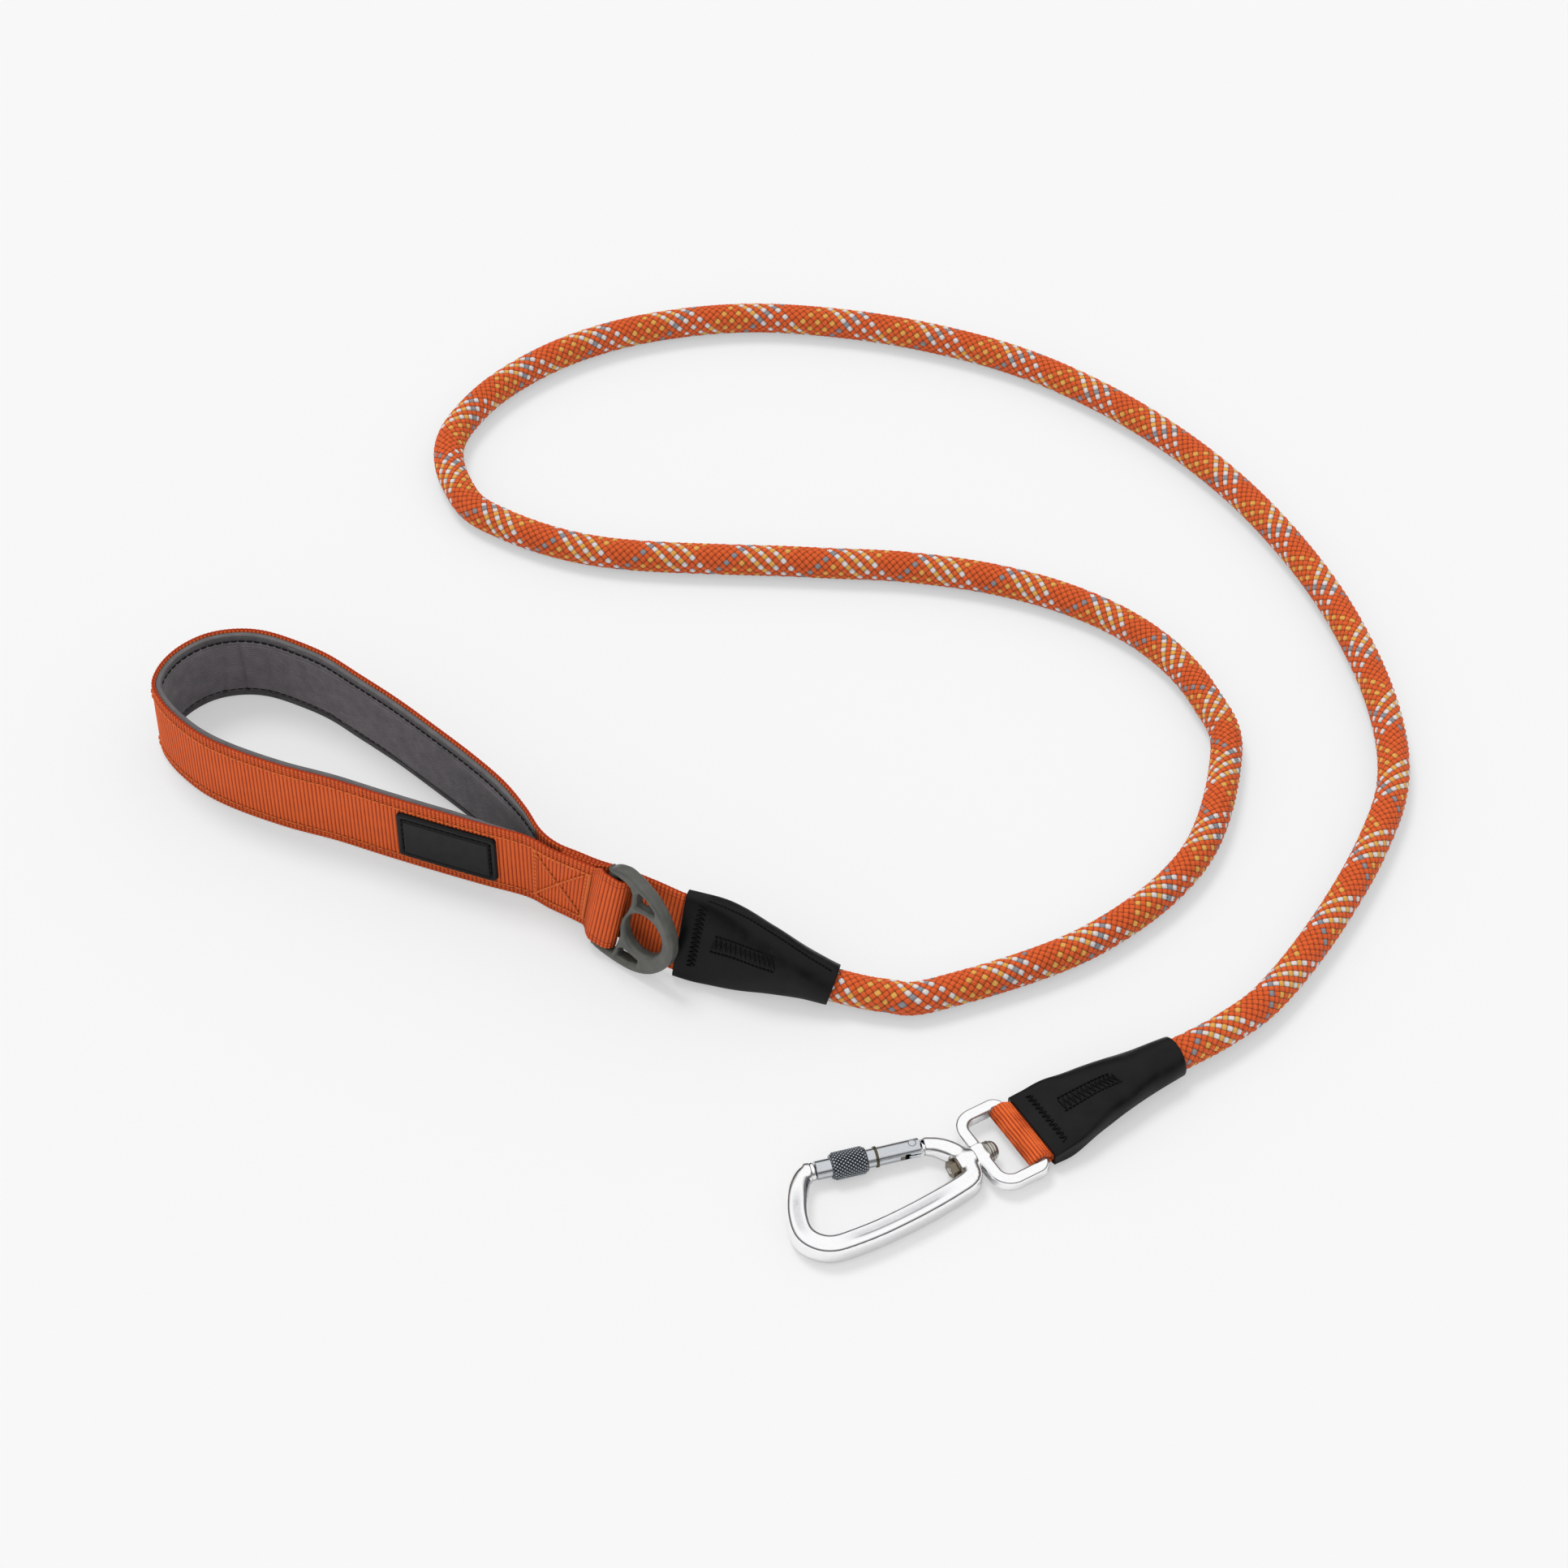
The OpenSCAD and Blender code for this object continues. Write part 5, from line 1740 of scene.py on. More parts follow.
# ---- The accessory ring ----
@dataclass
class AccessoryRing:
    """Moulded ring on the keeper loop: rounded plate with a finger hole and two windows."""

    swing: float = 6.0
    thickness: float = 5.0
    corner: float = 1.5
    bar_r: float = 1.98
    finger_at: float = 16.2
    finger_d: float = 15.2
    # The plate is hollowed by the dish's depth about the finger hole
    dish: float = 0.35
    outline: tuple = (
        (-2.2, 14.2), (-1.6, 16.2), (0.2, 18), (2.8, 19.2), (5, 19.7), (8, 19.3), (12, 18.2),
        (17.2, 16), (21.8, 12.6), (25.4, 8.4), (27.6, 4.4), (28.6, 0), (27.8, -5.2), (25, -10.2),
        (21, -14.2), (15.7, -16.8), (10, -17.9), (4.2, -18.2), (0.3, -18), (-1.8, -17.4),
        (-2.4, -16),
    )  # fmt: skip
    slot: tuple = (
        (-8, -15.6), (5.2, -15.6), (6.4, -15.1), (7.1, -12.6), (7.6, -9.7), (7.8, -6.2), (7, -3),
        (7, 0.4), (8.2, 3.9), (9.2, 9.1), (8.8, 12.9), (7.6, 14.8), (5.6, 15.6), (-8, 15.6),
    )  # fmt: skip
    windows: tuple = (
        ((11.4, 9.4), (10.8, 14), (11.6, 15), (14.5, 14.4), (18.4, 12), (18.6, 10.8), (15.8, 9.8)),
        ((8.8, -11.8), (10, -10.6), (16.4, -11.3), (16.4, -12.8), (13.1, -14.2), (8.6, -14.8)),
    )

    def place(self) -> Place:
        """Frame of the ring: x away from its bar, y up the bar, z out of its front face.

        Returns:
            The frame.
        """
        keeper = LOOP.keeper()
        turn = math.radians(self.swing)
        x = math.cos(turn) * keeper.x + math.sin(turn) * keeper.y
        return Place(keeper.origin, x, keeper.z, np.cross(x, keeper.z))

    def solid(self, x: Array, y: Array, z: Array) -> Array:
        """The ring's field: a rounded plate less its openings, and its bar.

        Args:
            x, y, z: coordinates in the ring's frame.

        Returns:
            The field's values.
        """
        plan = outline_distance(x, y, self.soft_outline(self.outline, 4))
        cut = outline_distance(x, y, np.array(self.slot))
        for window in self.windows:
            cut = np.minimum(cut, outline_distance(x, y, np.array(window)))
        cut = np.minimum(cut, np.hypot(x - self.finger_at, y) - self.finger_d / 2)
        plan = -blend_union(-plan, cut, 1.0)
        dish = self.dish * smooth_step(np.hypot(x - self.finger_at, y), 12.5, 8.0)
        half = self.thickness / 2 - dish
        plate = rounded_box(plan, np.abs(z) - half, self.corner)
        bar = np.maximum(np.hypot(x, z) - self.bar_r, np.abs(y) - 16)
        return blend_union(plate, bar, 0.8)

    def soft_outline(self, points: tuple, parts: int) -> Array:
        """A closed smooth curve through the outline's points.

        Args:
            points: the outline's points.
            parts: parts from point to point.

        Returns:
            Points of the curve.
        """
        p = np.array(points, float)
        wrapped = np.concatenate([p[-2:], p, p[:3]])
        return spline(wrapped, parts)[2 * parts : (len(p) + 2) * parts]

    def build(self) -> Piece:
        """Makes the ring's skin.

        Returns:
            The piece.
        """
        lo, hi = (-3.4, -19.4, -3.1), (29.6, 21, 3.1)
        ring = skin_of("accessory_ring_moulding", self.solid, lo, hi, 0.3, self.place())
        return dress(ring, "Grey_Moulding", "accessory_ring", "accessory_ring")


# ---- The clip ----
@dataclass
class Clip:
    """Swivel ring, clip webbing, swivel pin with its washers and nut, and the carabiner."""

    ring_w: float = 32.4
    ring_pitch: float = 15.0
    bar: float = 4.2
    ring_t: float = 4.8
    web_w: float = 24.0
    web_t: float = 1.5
    body_w: float = 6.8
    body_t: float = 8.2
    barrel_d: float = 7.4
    barrel_l: float = 6.2
    pivot: tuple = (-16.5, 13.2)
    tilt: float = 15.0
    gate_front: float = 31.2
    gate_d: float = 6.0
    lock_d: float = 8.8
    lock_l: float = 11.4
    nose_r: float = 2.95
    bore_r: float = 3.35
    heel_r: float = 3.2
    collar_r: float = 4.7
    pin_bore_r: float = 1.5
    nut_bore_r: float = 3.7
    ring_near_r: float = 5.4
    ring_far_r: float = 2.4
    round_bar_r: float = 2.0
    boss_r: float = 3.6
    washer_t: float = 0.9
    washer_gap: float = 0.03
    rib_pitch: float = 1.3
    opening: tuple = (-8, -16, -24, -27)
    spine: tuple = (
        (-4.9, -0.6, 0.8, 0.85), (-5.8, -4, 0.92, 0.92), (-8, -7, 1, 1), (-13.6, -8.1, 1, 1),
        (-23, -8.9, 1, 1), (-33, -9.2, 1, 1), (-43, -9, 1, 1), (-52.5, -8, 1, 1),
        (-57.2, -6.8, 1, 1), (-60.4, -4.4, 1, 1), (-62.4, -0.8, 1, 1), (-62.6, 3, 1, 1),
        (-61, 8, 1, 1), (-58.4, 12.8, 1, 0.95), (-55.2, 17.4, 0.96, 0.86),
        (-52.2, 20.4, 0.91, 0.76), (-49.8, 21.6, 0.87, 0.72),
    )  # fmt: skip
    arm: tuple = (
        (-4.6, 1, 0.7, 0.84), (-5.8, 3.8, 0.86, 0.86), (-7.9, 7.4, 0.9, 0.84),
        (-10, 10, 0.88, 0.77), (-12.1, 11.6, 0.85, 0.72),
    )  # fmt: skip

    def gate(self) -> Place:
        """Frame of the gate: x from the rivet to the nose, z up.

        Returns:
            The frame.
        """
        turn = math.radians(180 - self.tilt)
        x = math.cos(turn) * CLIP.x + math.sin(turn) * CLIP.y
        return Place(CLIP.out([*self.pivot, 0]), x, np.cross(UP, x), UP)

    def bar_place(self, line: tuple, x: Array, y: Array) -> tuple[Array, ...]:
        """Distance from a flat centre line, half sizes of the bar there and part of its length.

        Args:
            line: rows of x, y and shares of the full width and thickness.
            x, y: coordinates in the clip's frame.

        Returns:
            The four, for each point.
        """
        rows = spline(line, 5)
        best = np.full(np.broadcast(x, y).shape, np.inf)
        half_w, half_h, run = np.zeros_like(best), np.zeros_like(best), np.zeros_like(best)
        lengths = lengths_along(rows[:, :2])
        for k, (a, b) in enumerate(zip(rows[:-1], rows[1:])):
            e = b[:2] - a[:2]
            t = np.clip(((x - a[0]) * e[0] + (y - a[1]) * e[1]) / (e @ e), 0, 1)
            d = np.hypot(x - a[0] - t * e[0], y - a[1] - t * e[1])
            near = d < best
            best = np.where(near, d, best)
            half_w = np.where(near, a[2] + t * (b[2] - a[2]), half_w)
            half_h = np.where(near, a[3] + t * (b[3] - a[3]), half_h)
            run = np.where(near, lengths[k] + t * (lengths[k + 1] - lengths[k]), run)
        return best, half_w * self.body_w / 2, half_h * self.body_t / 2, run / lengths[-1]

    def groove(self, best: Array, run: Array) -> Array:
        """How deep the groove along the bar's faces is, from 0 to 1.

        Args:
            best: distances from the centre line.
            run: parts of its length.

        Returns:
            The depths.
        """
        fade = smooth_step(run, 0.12, 0.26) * (1 - smooth_step(run, 0.5, 0.62))
        fade = fade + smooth_step(run, 0.68, 0.78) * (1 - smooth_step(run, 0.84, 0.93))
        return fade * (1 - smooth_step(best, 0.2, 2.1))

    def groove_shade_mask(self, x: Array, y: Array, z: Array) -> Array:
        """Where the forged body's grooves are, for the painted shade in its finish."""
        best, _, half, run = self.bar_place(self.spine, x, y)
        return self.groove(best, run) * smooth_step(np.abs(z), half - 1.2, half - 0.8)

    def sweep(self, line: tuple, x: Array, y: Array, z: Array, groove: float) -> Array:
        """Field of a bar along a flat centre line, with a shallow groove along its two faces.

        The bar's section is a rounded rectangle whose half sizes follow the line.

        Args:
            line: rows as bar_place's.
            x, y, z: coordinates in the clip's frame.
            groove: the groove's depth.

        Returns:
            The field's values.
        """
        best, w, h, run = self.bar_place(line, x, y)
        # The corners get rounder where the bar thins out
        corner = 2.3 + 3 * np.clip(0.95 - 2 * h / self.body_t, 0, 1)
        corner = np.minimum(np.minimum(w, h) * 0.98, corner)
        return rounded_box(best - w, np.abs(z) - h + groove * self.groove(best, run), corner)

    def body_field(self, x: Array, y: Array, z: Array) -> Array:
        """The carabiner's field: spine, arm, barrel and nose with fillets, less its bores.

        Args:
            x, y, z: coordinates in the clip's frame.

        Returns:
            The field's values.
        """
        spine = self.sweep(self.spine, x, y, z, 0.42)
        arm = self.sweep(self.arm, x, y, z, 0.0)
        barrel_from = -self.bar / 2 - 0.1
        barrel = rounded_box(
            np.hypot(y, z) - self.barrel_d / 2,
            np.abs(x - barrel_from + self.barrel_l / 2) - self.barrel_l / 2,
            0.4,
        )
        body = blend_union(blend_union(spine, arm, 1.5), barrel, 1.4)
        # The gate's own frame: gx along it from the rivet, and the distance from its axis
        turn = math.radians(180 - self.tilt)
        gx = (x - self.pivot[0]) * math.cos(turn) + (y - self.pivot[1]) * math.sin(turn)
        gy = (x - self.pivot[0]) * math.sin(turn) - (y - self.pivot[1]) * math.cos(turn)
        off = np.hypot(gy, z)
        nose_at = gx - self.gate_front
        nose = rounded_box(off - self.nose_r, np.abs(nose_at - 1.9) - 1.4, 0.3)
        body = blend_union(body, nose, 1.5)
        # Room for the lock's travel over the nose, and for the gate's heel as it opens
        ring = np.maximum(off - self.collar_r, np.abs(nose_at + 0.5) - 2.2)
        body = np.maximum(body, -np.maximum(self.nose_r + 0.01 - off, ring))
        for turn in np.radians(self.opening):
            hx = gx * math.cos(turn) + gy * math.sin(turn)
            hy = gy * math.cos(turn) - gx * math.sin(turn)
            heel = rounded_box(np.hypot(hy, z) - self.heel_r, np.abs(hx - 3) - 6.4, 0.1)
            body = np.maximum(body, -heel)
        tube = rounded_box(off - self.bore_r, np.abs(gx - 13.8) - 17.3, 0.1)
        body = np.maximum(body, -tube)
        # The tongues that carry the rivet and lie in the tube's two slots
        hinge = rounded_box(np.abs(gx + 2.2) - 3.9, np.abs(gy) - 1.8, 1.6)
        tang = rounded_box(np.abs(nose_at + 1.2) - 3.2, np.abs(gy - 0.8) - 1.9, 0.3)
        body = np.minimum(body, np.maximum(np.abs(z) - 1.1, hinge))
        body = np.minimum(body, np.maximum(np.abs(z) - 1, tang))
        pin = np.maximum(np.hypot(y, z) - self.pin_bore_r, np.abs(x + 6) - 7)
        nut = rounded_box(np.hypot(y, z) - self.nut_bore_r, np.abs(x + 11.2) - 2.8, 0.2)
        return np.maximum(np.maximum(body, -pin), -nut)

    def build_body(self) -> Piece:
        """Makes the forged body's skin.

        Returns:
            The piece.
        """
        lo, hi = (-67.5, -14, -4.4), (-1.2, 26, 4.4)
        body = skin_of("carabiner_forging", self.body_field, lo, hi, 0.34, CLIP, self.groove_shade_mask)
        return dress(body, "Forged_Alloy", "carabiner", "carabiner_body")

    def ring_field(self, x: Array, y: Array, z: Array) -> Array:
        """The swivel ring's field: a bar round a rounded rectangle, and its pin's bore.

        The far bar is round, because the webbing turns about it.

        Args:
            x, y, z: coordinates in the clip's frame.

        Returns:
            The field's values.
        """
        half, pitch = self.ring_w / 2 - self.bar / 2, self.ring_pitch
        far = smooth_step(x, pitch - 3.5, pitch - 0.6) * (1 - smooth_step(np.abs(y), 11.8, 13.2))
        radius = np.where(x < pitch / 2, self.ring_near_r, self.ring_far_r)
        flat = rounded_box(np.abs(x - pitch / 2) - pitch / 2, np.abs(y) - half, radius)
        wide = self.bar / 2 + (self.round_bar_r - self.bar / 2) * far
        tall = self.ring_t / 2 + (self.round_bar_r - self.ring_t / 2) * far
        corner = 1.25 + 0.74 * far
        bar = rounded_box(np.abs(flat) - wide, np.abs(z) - tall, corner)
        boss = rounded_box(np.hypot(y, z) - self.boss_r, np.abs(x) - 2.1, 0.3)
        bore = np.maximum(np.hypot(y, z) - 1.46, np.abs(x) - 4)
        return np.maximum(blend_union(bar, np.maximum(boss, np.abs(z) - 2.4), 0.6), -bore)

    def build_ring(self) -> Piece:
        """Makes the swivel ring's skin.

        Returns:
            The piece.
        """
        lo, hi = (-2.8, -17, -3), (17.8, 17, 3)
        ring = skin_of("swivel_ring_casting", self.ring_field, lo, hi, 0.25, CLIP)
        return dress(ring, "Satin_Alloy", "swivel_ring", "swivel_ring")

    def build_webbing(self) -> Piece:
        """Makes the strap that turns about the ring's far bar, with ribs along its width.

        Returns:
            The piece.
        """
        r = self.round_bar_r + 0.2 + self.web_t
        half, fold = self.web_w / 2, self.web_t + 0.05
        start, far = CLIP_SLEEVE.start, CLIP_SLEEVE.start + CLIP_SLEEVE.length - 26.3
        turns = np.radians(np.arange(-84, -291, -6))
        # Rows of distance, height, nothing sideways and half width: in below, round, back above
        lower = [
            [far, 1.6 - fold, 0, 8], [start + 17, 0.9 - fold, 0, 10.5],
            [start + 9, 0.2 - fold, 0, half], [start + 0.4, -0.3 - fold, 0, half],
        ]  # fmt: skip
        bend = [[self.ring_pitch + r * math.cos(t), r * math.sin(t), 0, half] for t in turns]
        shifts = (-0.3, 0.2, 0.9, 1.6)
        upper = [[d, 2 * shift - z, 0, w] for (d, z, _, w), shift in zip(lower[::-1], shifts)]
        path = np.concatenate([spline(lower, 12), bend, spline(upper, 12)])
        rows, s = evenly(path, self.rib_pitch / 4)
        rows = softened(rows, 5)
        points = np.stack([rows[:, 0], 0 * s, rows[:, 1]], -1)
        inward = unit(np.cross(np.array([0.0, 1.0, 0.0]), headings(points)))
        face, back = np.linspace(-0.99, 0.99, 33), np.linspace(0.99, -0.99, 13)
        width = np.r_[face, 1.0, 1.0, back, -1.0, -1.0]
        depth = np.r_[np.zeros(len(face)), 0.5, 1.0, np.full(len(back), self.web_t), 1.0, 0.5]
        show = np.r_[np.ones(len(face)), 0.3, 0.3, np.zeros(len(back)), 0.3, 0.3]
        w = width[None, :] * rows[:, 3:4]
        wander = 0.45 * np.sin(w * 0.42 + 0.5) + 0.12 * np.sin(w * 1.3 + s[:, None] / 9)
        wave = np.abs(np.sin(math.pi * (s[:, None] + wander) / self.rib_pitch)) ** 0.8
        d = depth[None, :] + 0.42 * (1 - wave) * show[None, :]
        grid = points[:, None, :] + d[..., None] * inward[:, None, :]
        grid = grid + w[..., None] * np.array([0.0, 1.0, 0.0])
        piece = grid_piece("clip_webbing_fold", CLIP.out(grid), s, np.r_[width, width[0]] * half)
        return dress(piece, "Clip_Webbing", "leash", "clip_webbing")

    def build_lock(self) -> Piece:
        """Makes the lock sleeve: a tube whose outer wall is cut by two crossing knurls.

        The wall's height over the knurl is the lower of two saw waves that wind opposite ways.

        Returns:
            The piece.
        """
        around, place = 224, self.gate()
        start = self.gate_front - 5 - self.lock_l
        r, bore = self.lock_d / 2, self.gate_d / 2 + 0.05
        # Rims and flats at both ends, with the knurl between them
        rim, cut = np.array([0.35, 0.0, 0.0, 0.35, 0.8]), np.linspace(1.0, self.lock_l - 1.0, 76)
        x = np.r_[rim, cut, self.lock_l - rim[::-1]]
        rim = np.array([bore, bore + 0.3, r - 0.75, r - 0.45, r - 0.45])
        wall = np.r_[rim, np.full(len(cut), r), rim[::-1]]
        angle = np.arange(around) / around
        turns, lean = angle[None, :] * KNURL_COUNT, x[:, None] * KNURL_LEAN
        saws = [np.abs((start % 1) * 2 - 1) for start in (turns + lean, turns - lean)]
        knurl = np.clip(np.minimum(*saws) * 1.9, 0, 1)
        on = ((x > 0.9) & (x < self.lock_l - 0.9))[:, None]
        radius = wall[:, None] - np.where(on, 0.42 * (1 - knurl), 0)
        c, s = np.cos(TURN * angle)[None, :], np.sin(TURN * angle)[None, :]
        grid = np.stack(np.broadcast_arrays(start + x[:, None], radius * c, radius * s), -1)
        about = np.arange(around + 1) / around
        lock = grid_piece("lock_sleeve_knurl", place.out(grid), np.r_[x, x[0]], about, loop=True)
        return dress(lock, "Dark_Knurl", "lock_sleeve", "lock_sleeve")

    def build_swivel_parts(self) -> list[Piece]:
        """Makes the pin with its rounded head, the two washers and the gate's rivet.

        All are turned: rows of their profiles give a distance along the axis and a radius.

        Returns:
            The pieces.
        """
        at, step = self.bar / 2 + self.washer_gap, self.washer_t + self.washer_gap
        head = at + 2 * step
        back = -self.bar / 2 - 0.1 - self.barrel_l - 0.03 - 2.6
        shank = [(-0.35, 0.01), (-0.35, 0.95), (-0.2, 1.2), (0.1, 1.36), (1, 1.38)]
        dome = [
            (-0.1, 1.38), (0.02, 2.75), (0.1, 2.95), (0.3, 3.06), (0.6, 3.06), (0.95, 2.9),
            (1.4, 2.6), (1.75, 2.15), (2.0, 1.55), (2.14, 0.8), (2.16, 0.01),
        ]  # fmt: skip
        profile = [(back + x, r) for x, r in shank] + [(head + x, r) for x, r in dome]
        made = [lathe("swivel_pin_turned", profile, CLIP, False)]
        edge = [(0.0, 1.5), (0.0, 3.2), (0.08, 3.38), (0.25, 3.48)]
        for k in range(2):
            a, b = at + k * step, at + k * step + self.washer_t
            profile = [(a + x, r) for x, r in edge] + [(b - x, r) for x, r in edge[::-1]]
            made.append(lathe(f"swivel_washer_{k + 1}", profile, CLIP, True))
        gate = self.gate()
        upright = Place(gate.origin, UP, gate.x, np.cross(UP, gate.x))
        end = [(2.6, 1.0), (2.62, 1.28), (2.95, 1.34), (3.12, 1.26), (3.28, 1.02), (3.38, 0.6), (3.42, 0.01)]
        profile = [(-x, r) for x, r in end[::-1]] + end
        made.append(lathe("gate_rivet_turned", profile, upright, False, 40))
        nodes = ("swivel_pin", "swivel_washers", "swivel_washers", "gate_rivet")
        for piece, rides, node in zip(made, ("carabiner", "swivel_ring", "swivel_ring", "gate"), nodes):
            finish, slot = ("Gate_Tube", "gate_metal") if rides == "gate" else ("Plain_Steel", "steel")
            dress(piece, finish, rides, node)
        return made


LOOP = HandLoop()


# ---- Scene ----
def build_finishes() -> None:
    """Makes the finishes that pieces look up by name."""
    finishes = (
        Metal("Satin_Alloy", linear(251, 251, 252), (0.06, 0.14), 1100.0, 1e-6),
        # Its second colour is the painted shade in the body's grooves
        Metal("Forged_Alloy", linear(251, 251, 252), (0.06, 0.14), 1100.0, 1e-6, linear(206, 207, 210)),
        Metal("Plain_Steel", linear(190, 186, 178), (0.12, 0.24)),
        Metal("Nut_Bronze", linear(128, 118, 104), (0.25, 0.4)),
        Metal("Gate_Tube", linear(204, 207, 211), (0.08, 0.16), depth=1e-6),
        Metal("Stop_Brass", linear(96, 88, 70), (0.25, 0.4)),
        # Its second colour is the painted shade in the knurl's valleys
        Metal("Dark_Knurl", linear(182, 188, 194), (0.14, 0.24), knurl=linear(40, 44, 52)),
        Skin("Leather", linear(15, 15, 17), linear(25, 25, 27), (0.33, 0.5), 1500.0, 2.5e-5, 0.17),
        Skin("Label_Rubber", linear(14, 14, 16), linear(20, 20, 22), (0.42, 0.55), 2600.0, 1.2e-5, 0.25),
        Skin("Black_Rubber", linear(26, 26, 28), linear(36, 36, 38), (0.55, 0.7), 2600.0, 1.5e-5),
        Skin("Grey_Moulding", linear(84, 85, 80), linear(100, 101, 95), (0.34, 0.46), 1800.0, 1.2e-5),
        Thread("Orange_Thread", linear(255, 128, 66)),
        Thread("Black_Thread", linear(6, 6, 7), 0.42),
        Thread("Dark_Thread", linear(40, 38, 40), 0.7),
        Thread("Core_Yarn", linear(236, 230, 220)),
        # The webbings' second colours are the painted shade in their rib valleys
        Ribbed("Orange_Webbing", linear(244, 108, 48), linear(156, 46, 16), 1.45, 15.0, 3.6),
        Ribbed("Clip_Webbing", linear(246, 112, 52), linear(156, 46, 16), 1.3, 12.0, 0.5),
        Knit("Grey_Lining", linear(146, 140, 144), linear(92, 88, 91), 0.9, 0.15),
        Knit("Grey_Tape", linear(126, 122, 123), linear(74, 71, 72), 0.62, 0.9),
    )
    for finish in finishes:
        finish.material()


def dress_frame_nodes() -> None:
    """Gives the CAD nodes that stay their finishes."""
    wanted = {
        "swivel_nut": "Nut_Bronze",
        "gate_tube": "Gate_Tube",
        "gate_stop_ring": "Stop_Brass",
        "gate_spring": "Plain_Steel",
        "gate_plunger": "Plain_Steel",
        "lock_friction_ring": "Black_Rubber",
    }
    for node, finish in wanted.items():
        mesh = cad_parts[node].data
        mesh.materials.clear()
        mesh.materials.append(bpy.data.materials[finish])


def build_camera() -> None:
    """Places the camera in front of and above the leash."""
    data = bpy.data.cameras.new("Camera")
    data.sensor_width = 36.0
    data.lens = 93.91
    camera = bpy.data.objects.new("Camera", data)
    bpy.context.scene.collection.objects.link(camera)
    camera.location = (0.044, -0.8514, 1.01426)
    aim = Vector((0.044, 0.078, 0.0)) - camera.location
    camera.rotation_euler = aim.to_track_quat("-Z", "Y").to_euler()
    bpy.context.scene.camera = camera


def build_stage() -> None:
    """Makes the floor, the soft key light and the world, whose horizon is dark in mirrors only."""
    scene = bpy.context.scene
    scene.view_settings.view_transform = "Standard"
    mesh = bpy.data.meshes.new("Floor")
    mesh.from_pydata([(-6, -6, 0), (6, -6, 0), (6, 6, 0), (-6, 6, 0)], [], [(0, 1, 2, 3)])
    floor = bpy.data.objects.new("Floor", mesh)
    scene.collection.objects.link(floor)
    material, g, shader = new_material("Floor_Paper")
    shader.inputs["Base Color"].default_value = linear(252, 252, 252)
    shader.inputs["Roughness"].default_value = 0.95
    shader.inputs["Specular IOR Level"].default_value = 0.0
    glow, both = g.node("ShaderNodeEmission"), g.node("ShaderNodeMixShader")
    glow.inputs["Color"].default_value = linear(247, 247, 247)
    seen = g.times(g.node("ShaderNodeLightPath").outputs["Is Camera Ray"], 0.45)
    for socket, value in zip(both.inputs, (seen, shader.outputs[0], glow.outputs[0])):
        g.feed(socket, value)
    g.feed(material.node_tree.nodes["Material Output"].inputs["Surface"], both.outputs[0])
    mesh.materials.append(material)

    world = bpy.data.worlds.new("Studio")
    scene.world = world
    world.use_nodes = True
    g = Graph(world.node_tree)
    background = world.node_tree.nodes["Background"]
    path = g.node("ShaderNodeLightPath")
    seen = g.math("MAXIMUM", path.outputs["Is Camera Ray"], path.outputs["Is Transmission Ray"])
    direction = g.node("ShaderNodeSeparateXYZ")
    g.feed(direction.inputs[0], g.node("ShaderNodeTexCoord").outputs["Generated"])
    mirrored = g.span(direction.outputs[2], 0.3, 0.62, 0.13, 1.0)
    glossy = path.outputs["Is Glossy Ray"]
    colour = g.mix(glossy, linear(246, 246, 246), linear(255, 255, 255))
    g.feed(background.inputs["Color"], colour)
    g.feed(background.inputs["Strength"], g.pick(glossy, g.pick(seen, 0.72, 1.0), mirrored))

    lamp = bpy.data.lights.new("Key", "SUN")
    lamp.energy = 1.09
    lamp.angle = math.radians(22)
    key = bpy.data.objects.new("Key", lamp)
    scene.collection.objects.link(key)
    key.rotation_euler = Vector((0.28, -0.44, -1.0)).to_track_quat("-Z", "Y").to_euler()
    key.visible_glossy = False


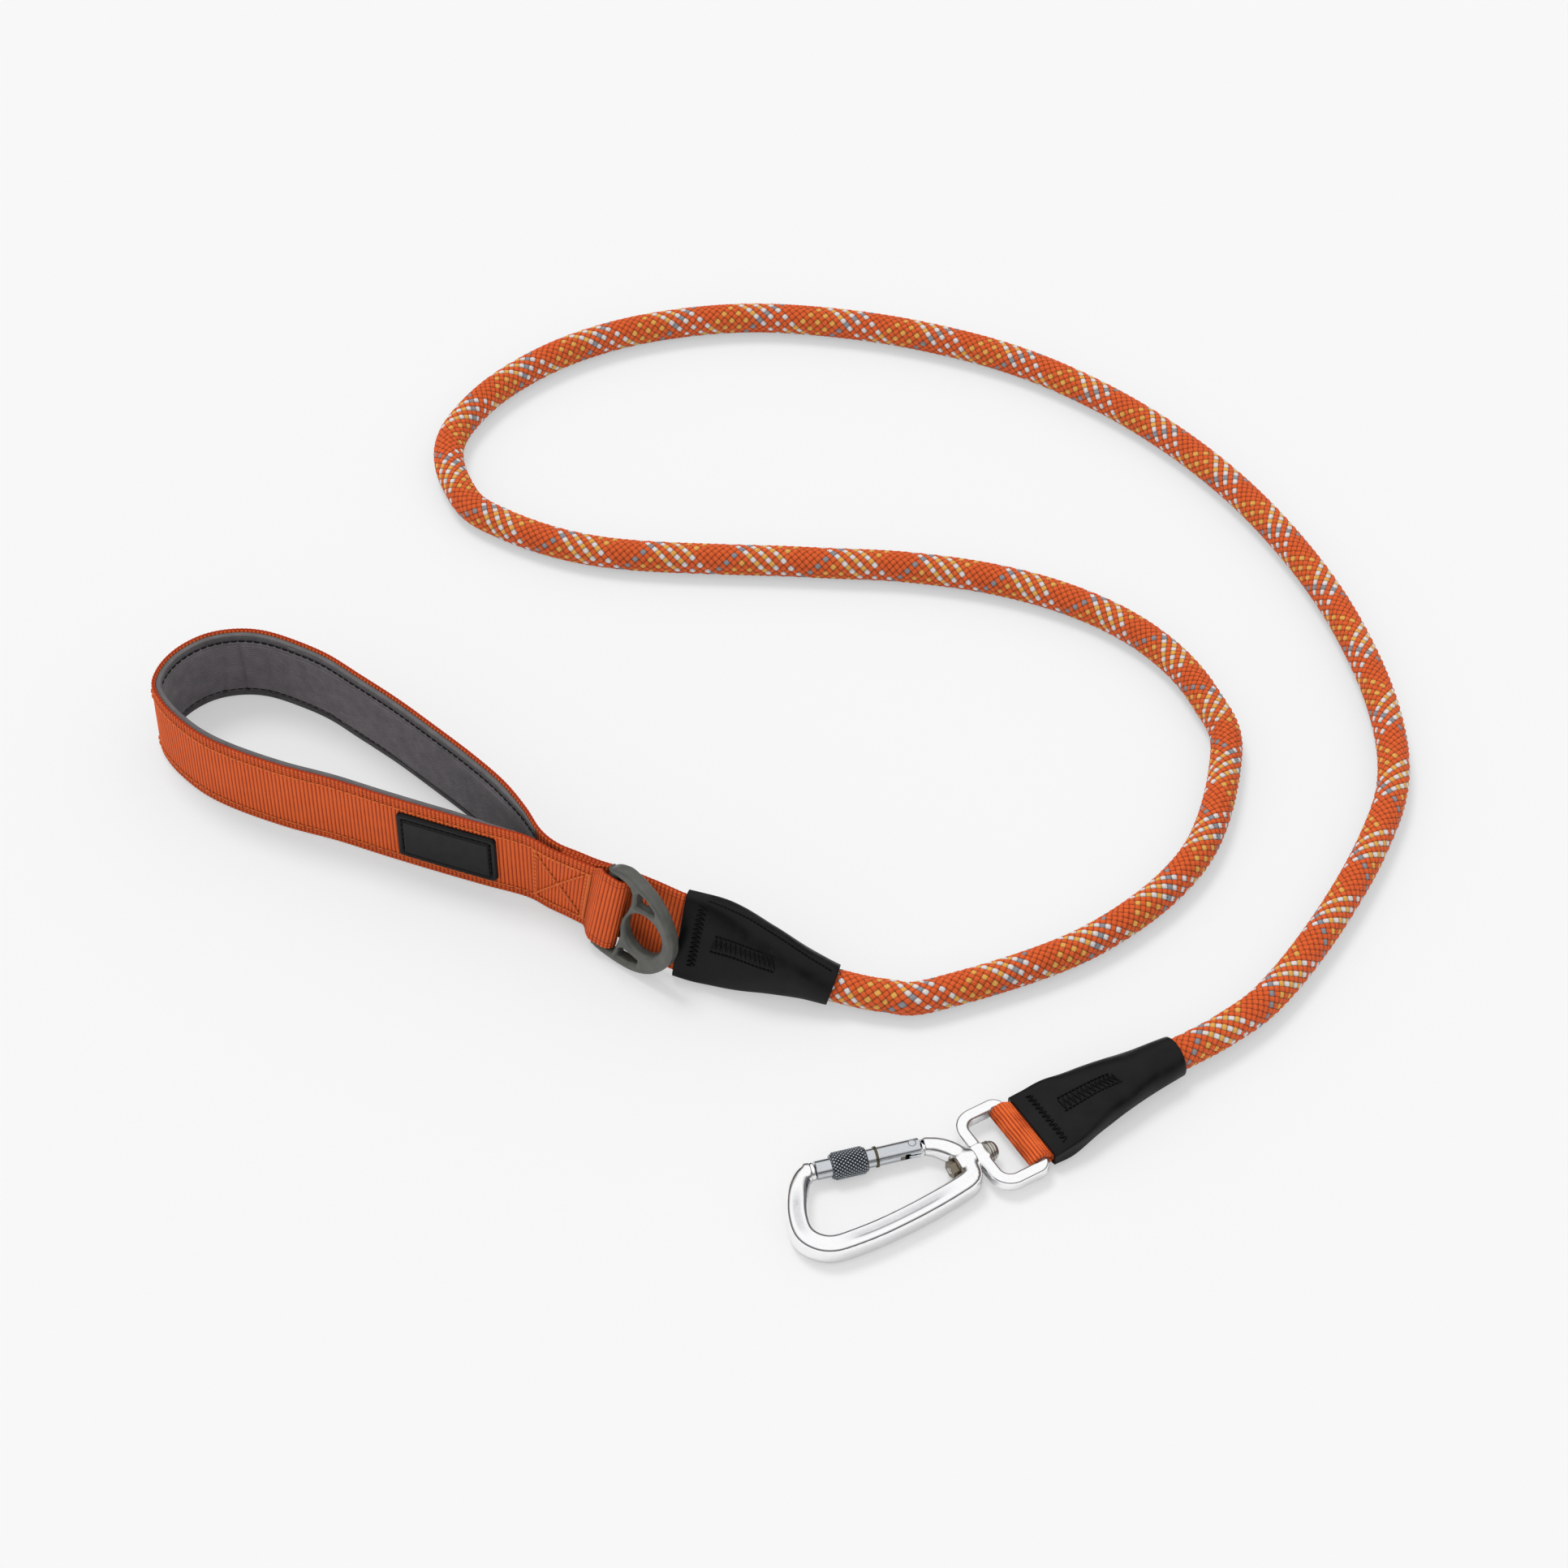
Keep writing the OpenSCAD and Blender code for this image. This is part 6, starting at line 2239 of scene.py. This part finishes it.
def build_sleeves() -> None:
    """Makes both sleeves and what is sewn through them."""
    for sleeve in (HANDLE_SLEEVE, CLIP_SLEEVE):
        log.info("built %s", sleeve.build().name)
    front = SleeveStitches(HANDLE_SLEEVE, "handle_sleeve_stitching")
    runs = []
    for face in (-1, 1):
        runs.append(front.zigzag(((3.9, -0.6), (4.4, 0.84), (6.9, -0.6), (7.4, 0.84)), 26, face))
        runs.append(front.zigzag(((10.7, -0.05), (32.0, 0.2), (11.3, 0.25), (30.8, 0.52)), 26, face))
        runs.append(front.line((10.7, -0.09), (32.2, 0.15), face))
        runs.append(front.line((11.3, 0.29), (30.8, 0.57), face))
    # The seam along the sleeve's top edge
    runs.append(front.line((7.0, 0.98), (49.0, 0.985), -1))
    log.info("built %s", front.build(runs, "handle_sleeve_tacks").name)
    top = SleeveStitches(CLIP_SLEEVE, "clip_sleeve_stitching")
    runs = []
    for face in (1, -1):
        runs.append(top.zigzag(((4.0, -0.74), (4.2, 0.8), (6.2, -0.74), (6.4, 0.8)), 22, face))
        runs.append(top.zigzag(((11.1, -0.2), (29.2, -0.01), (10.7, 0.12), (30.8, 0.33)), 24, face))
        runs.append(top.line((11.1, -0.24), (29.2, -0.05), face))
        runs.append(top.line((10.7, 0.16), (30.8, 0.38), face))
    log.info("built %s", top.build(runs, "clip_sleeve_tacks").name)


def main() -> None:
    """Builds the camera and the rope first, then the other sub-assemblies in order."""
    logging.basicConfig(level=logging.INFO, format="%(name)s: %(message)s")
    build_camera()
    build_groups()
    build_finishes()
    build_stage()
    for piece in Rope().build():
        log.info("built %s", piece.name)
    log.info("built %s", LOOP.build_webbing().name)
    for make in (LOOP.build_lining, LOOP.build_binding):
        log.info("built %s", make().name)
    for piece in LOOP.build_stitches() + LOOP.build_label():
        log.info("built %s", piece.name)
    build_sleeves()
    log.info("built %s", AccessoryRing().build().name)
    clip = Clip()
    for make in (clip.build_ring, clip.build_webbing, clip.build_body, clip.build_lock):
        log.info("built %s", make().name)
    for piece in clip.build_swivel_parts():
        log.info("built %s", piece.name)
    dress_frame_nodes()


if __name__ == "__main__":
    main()
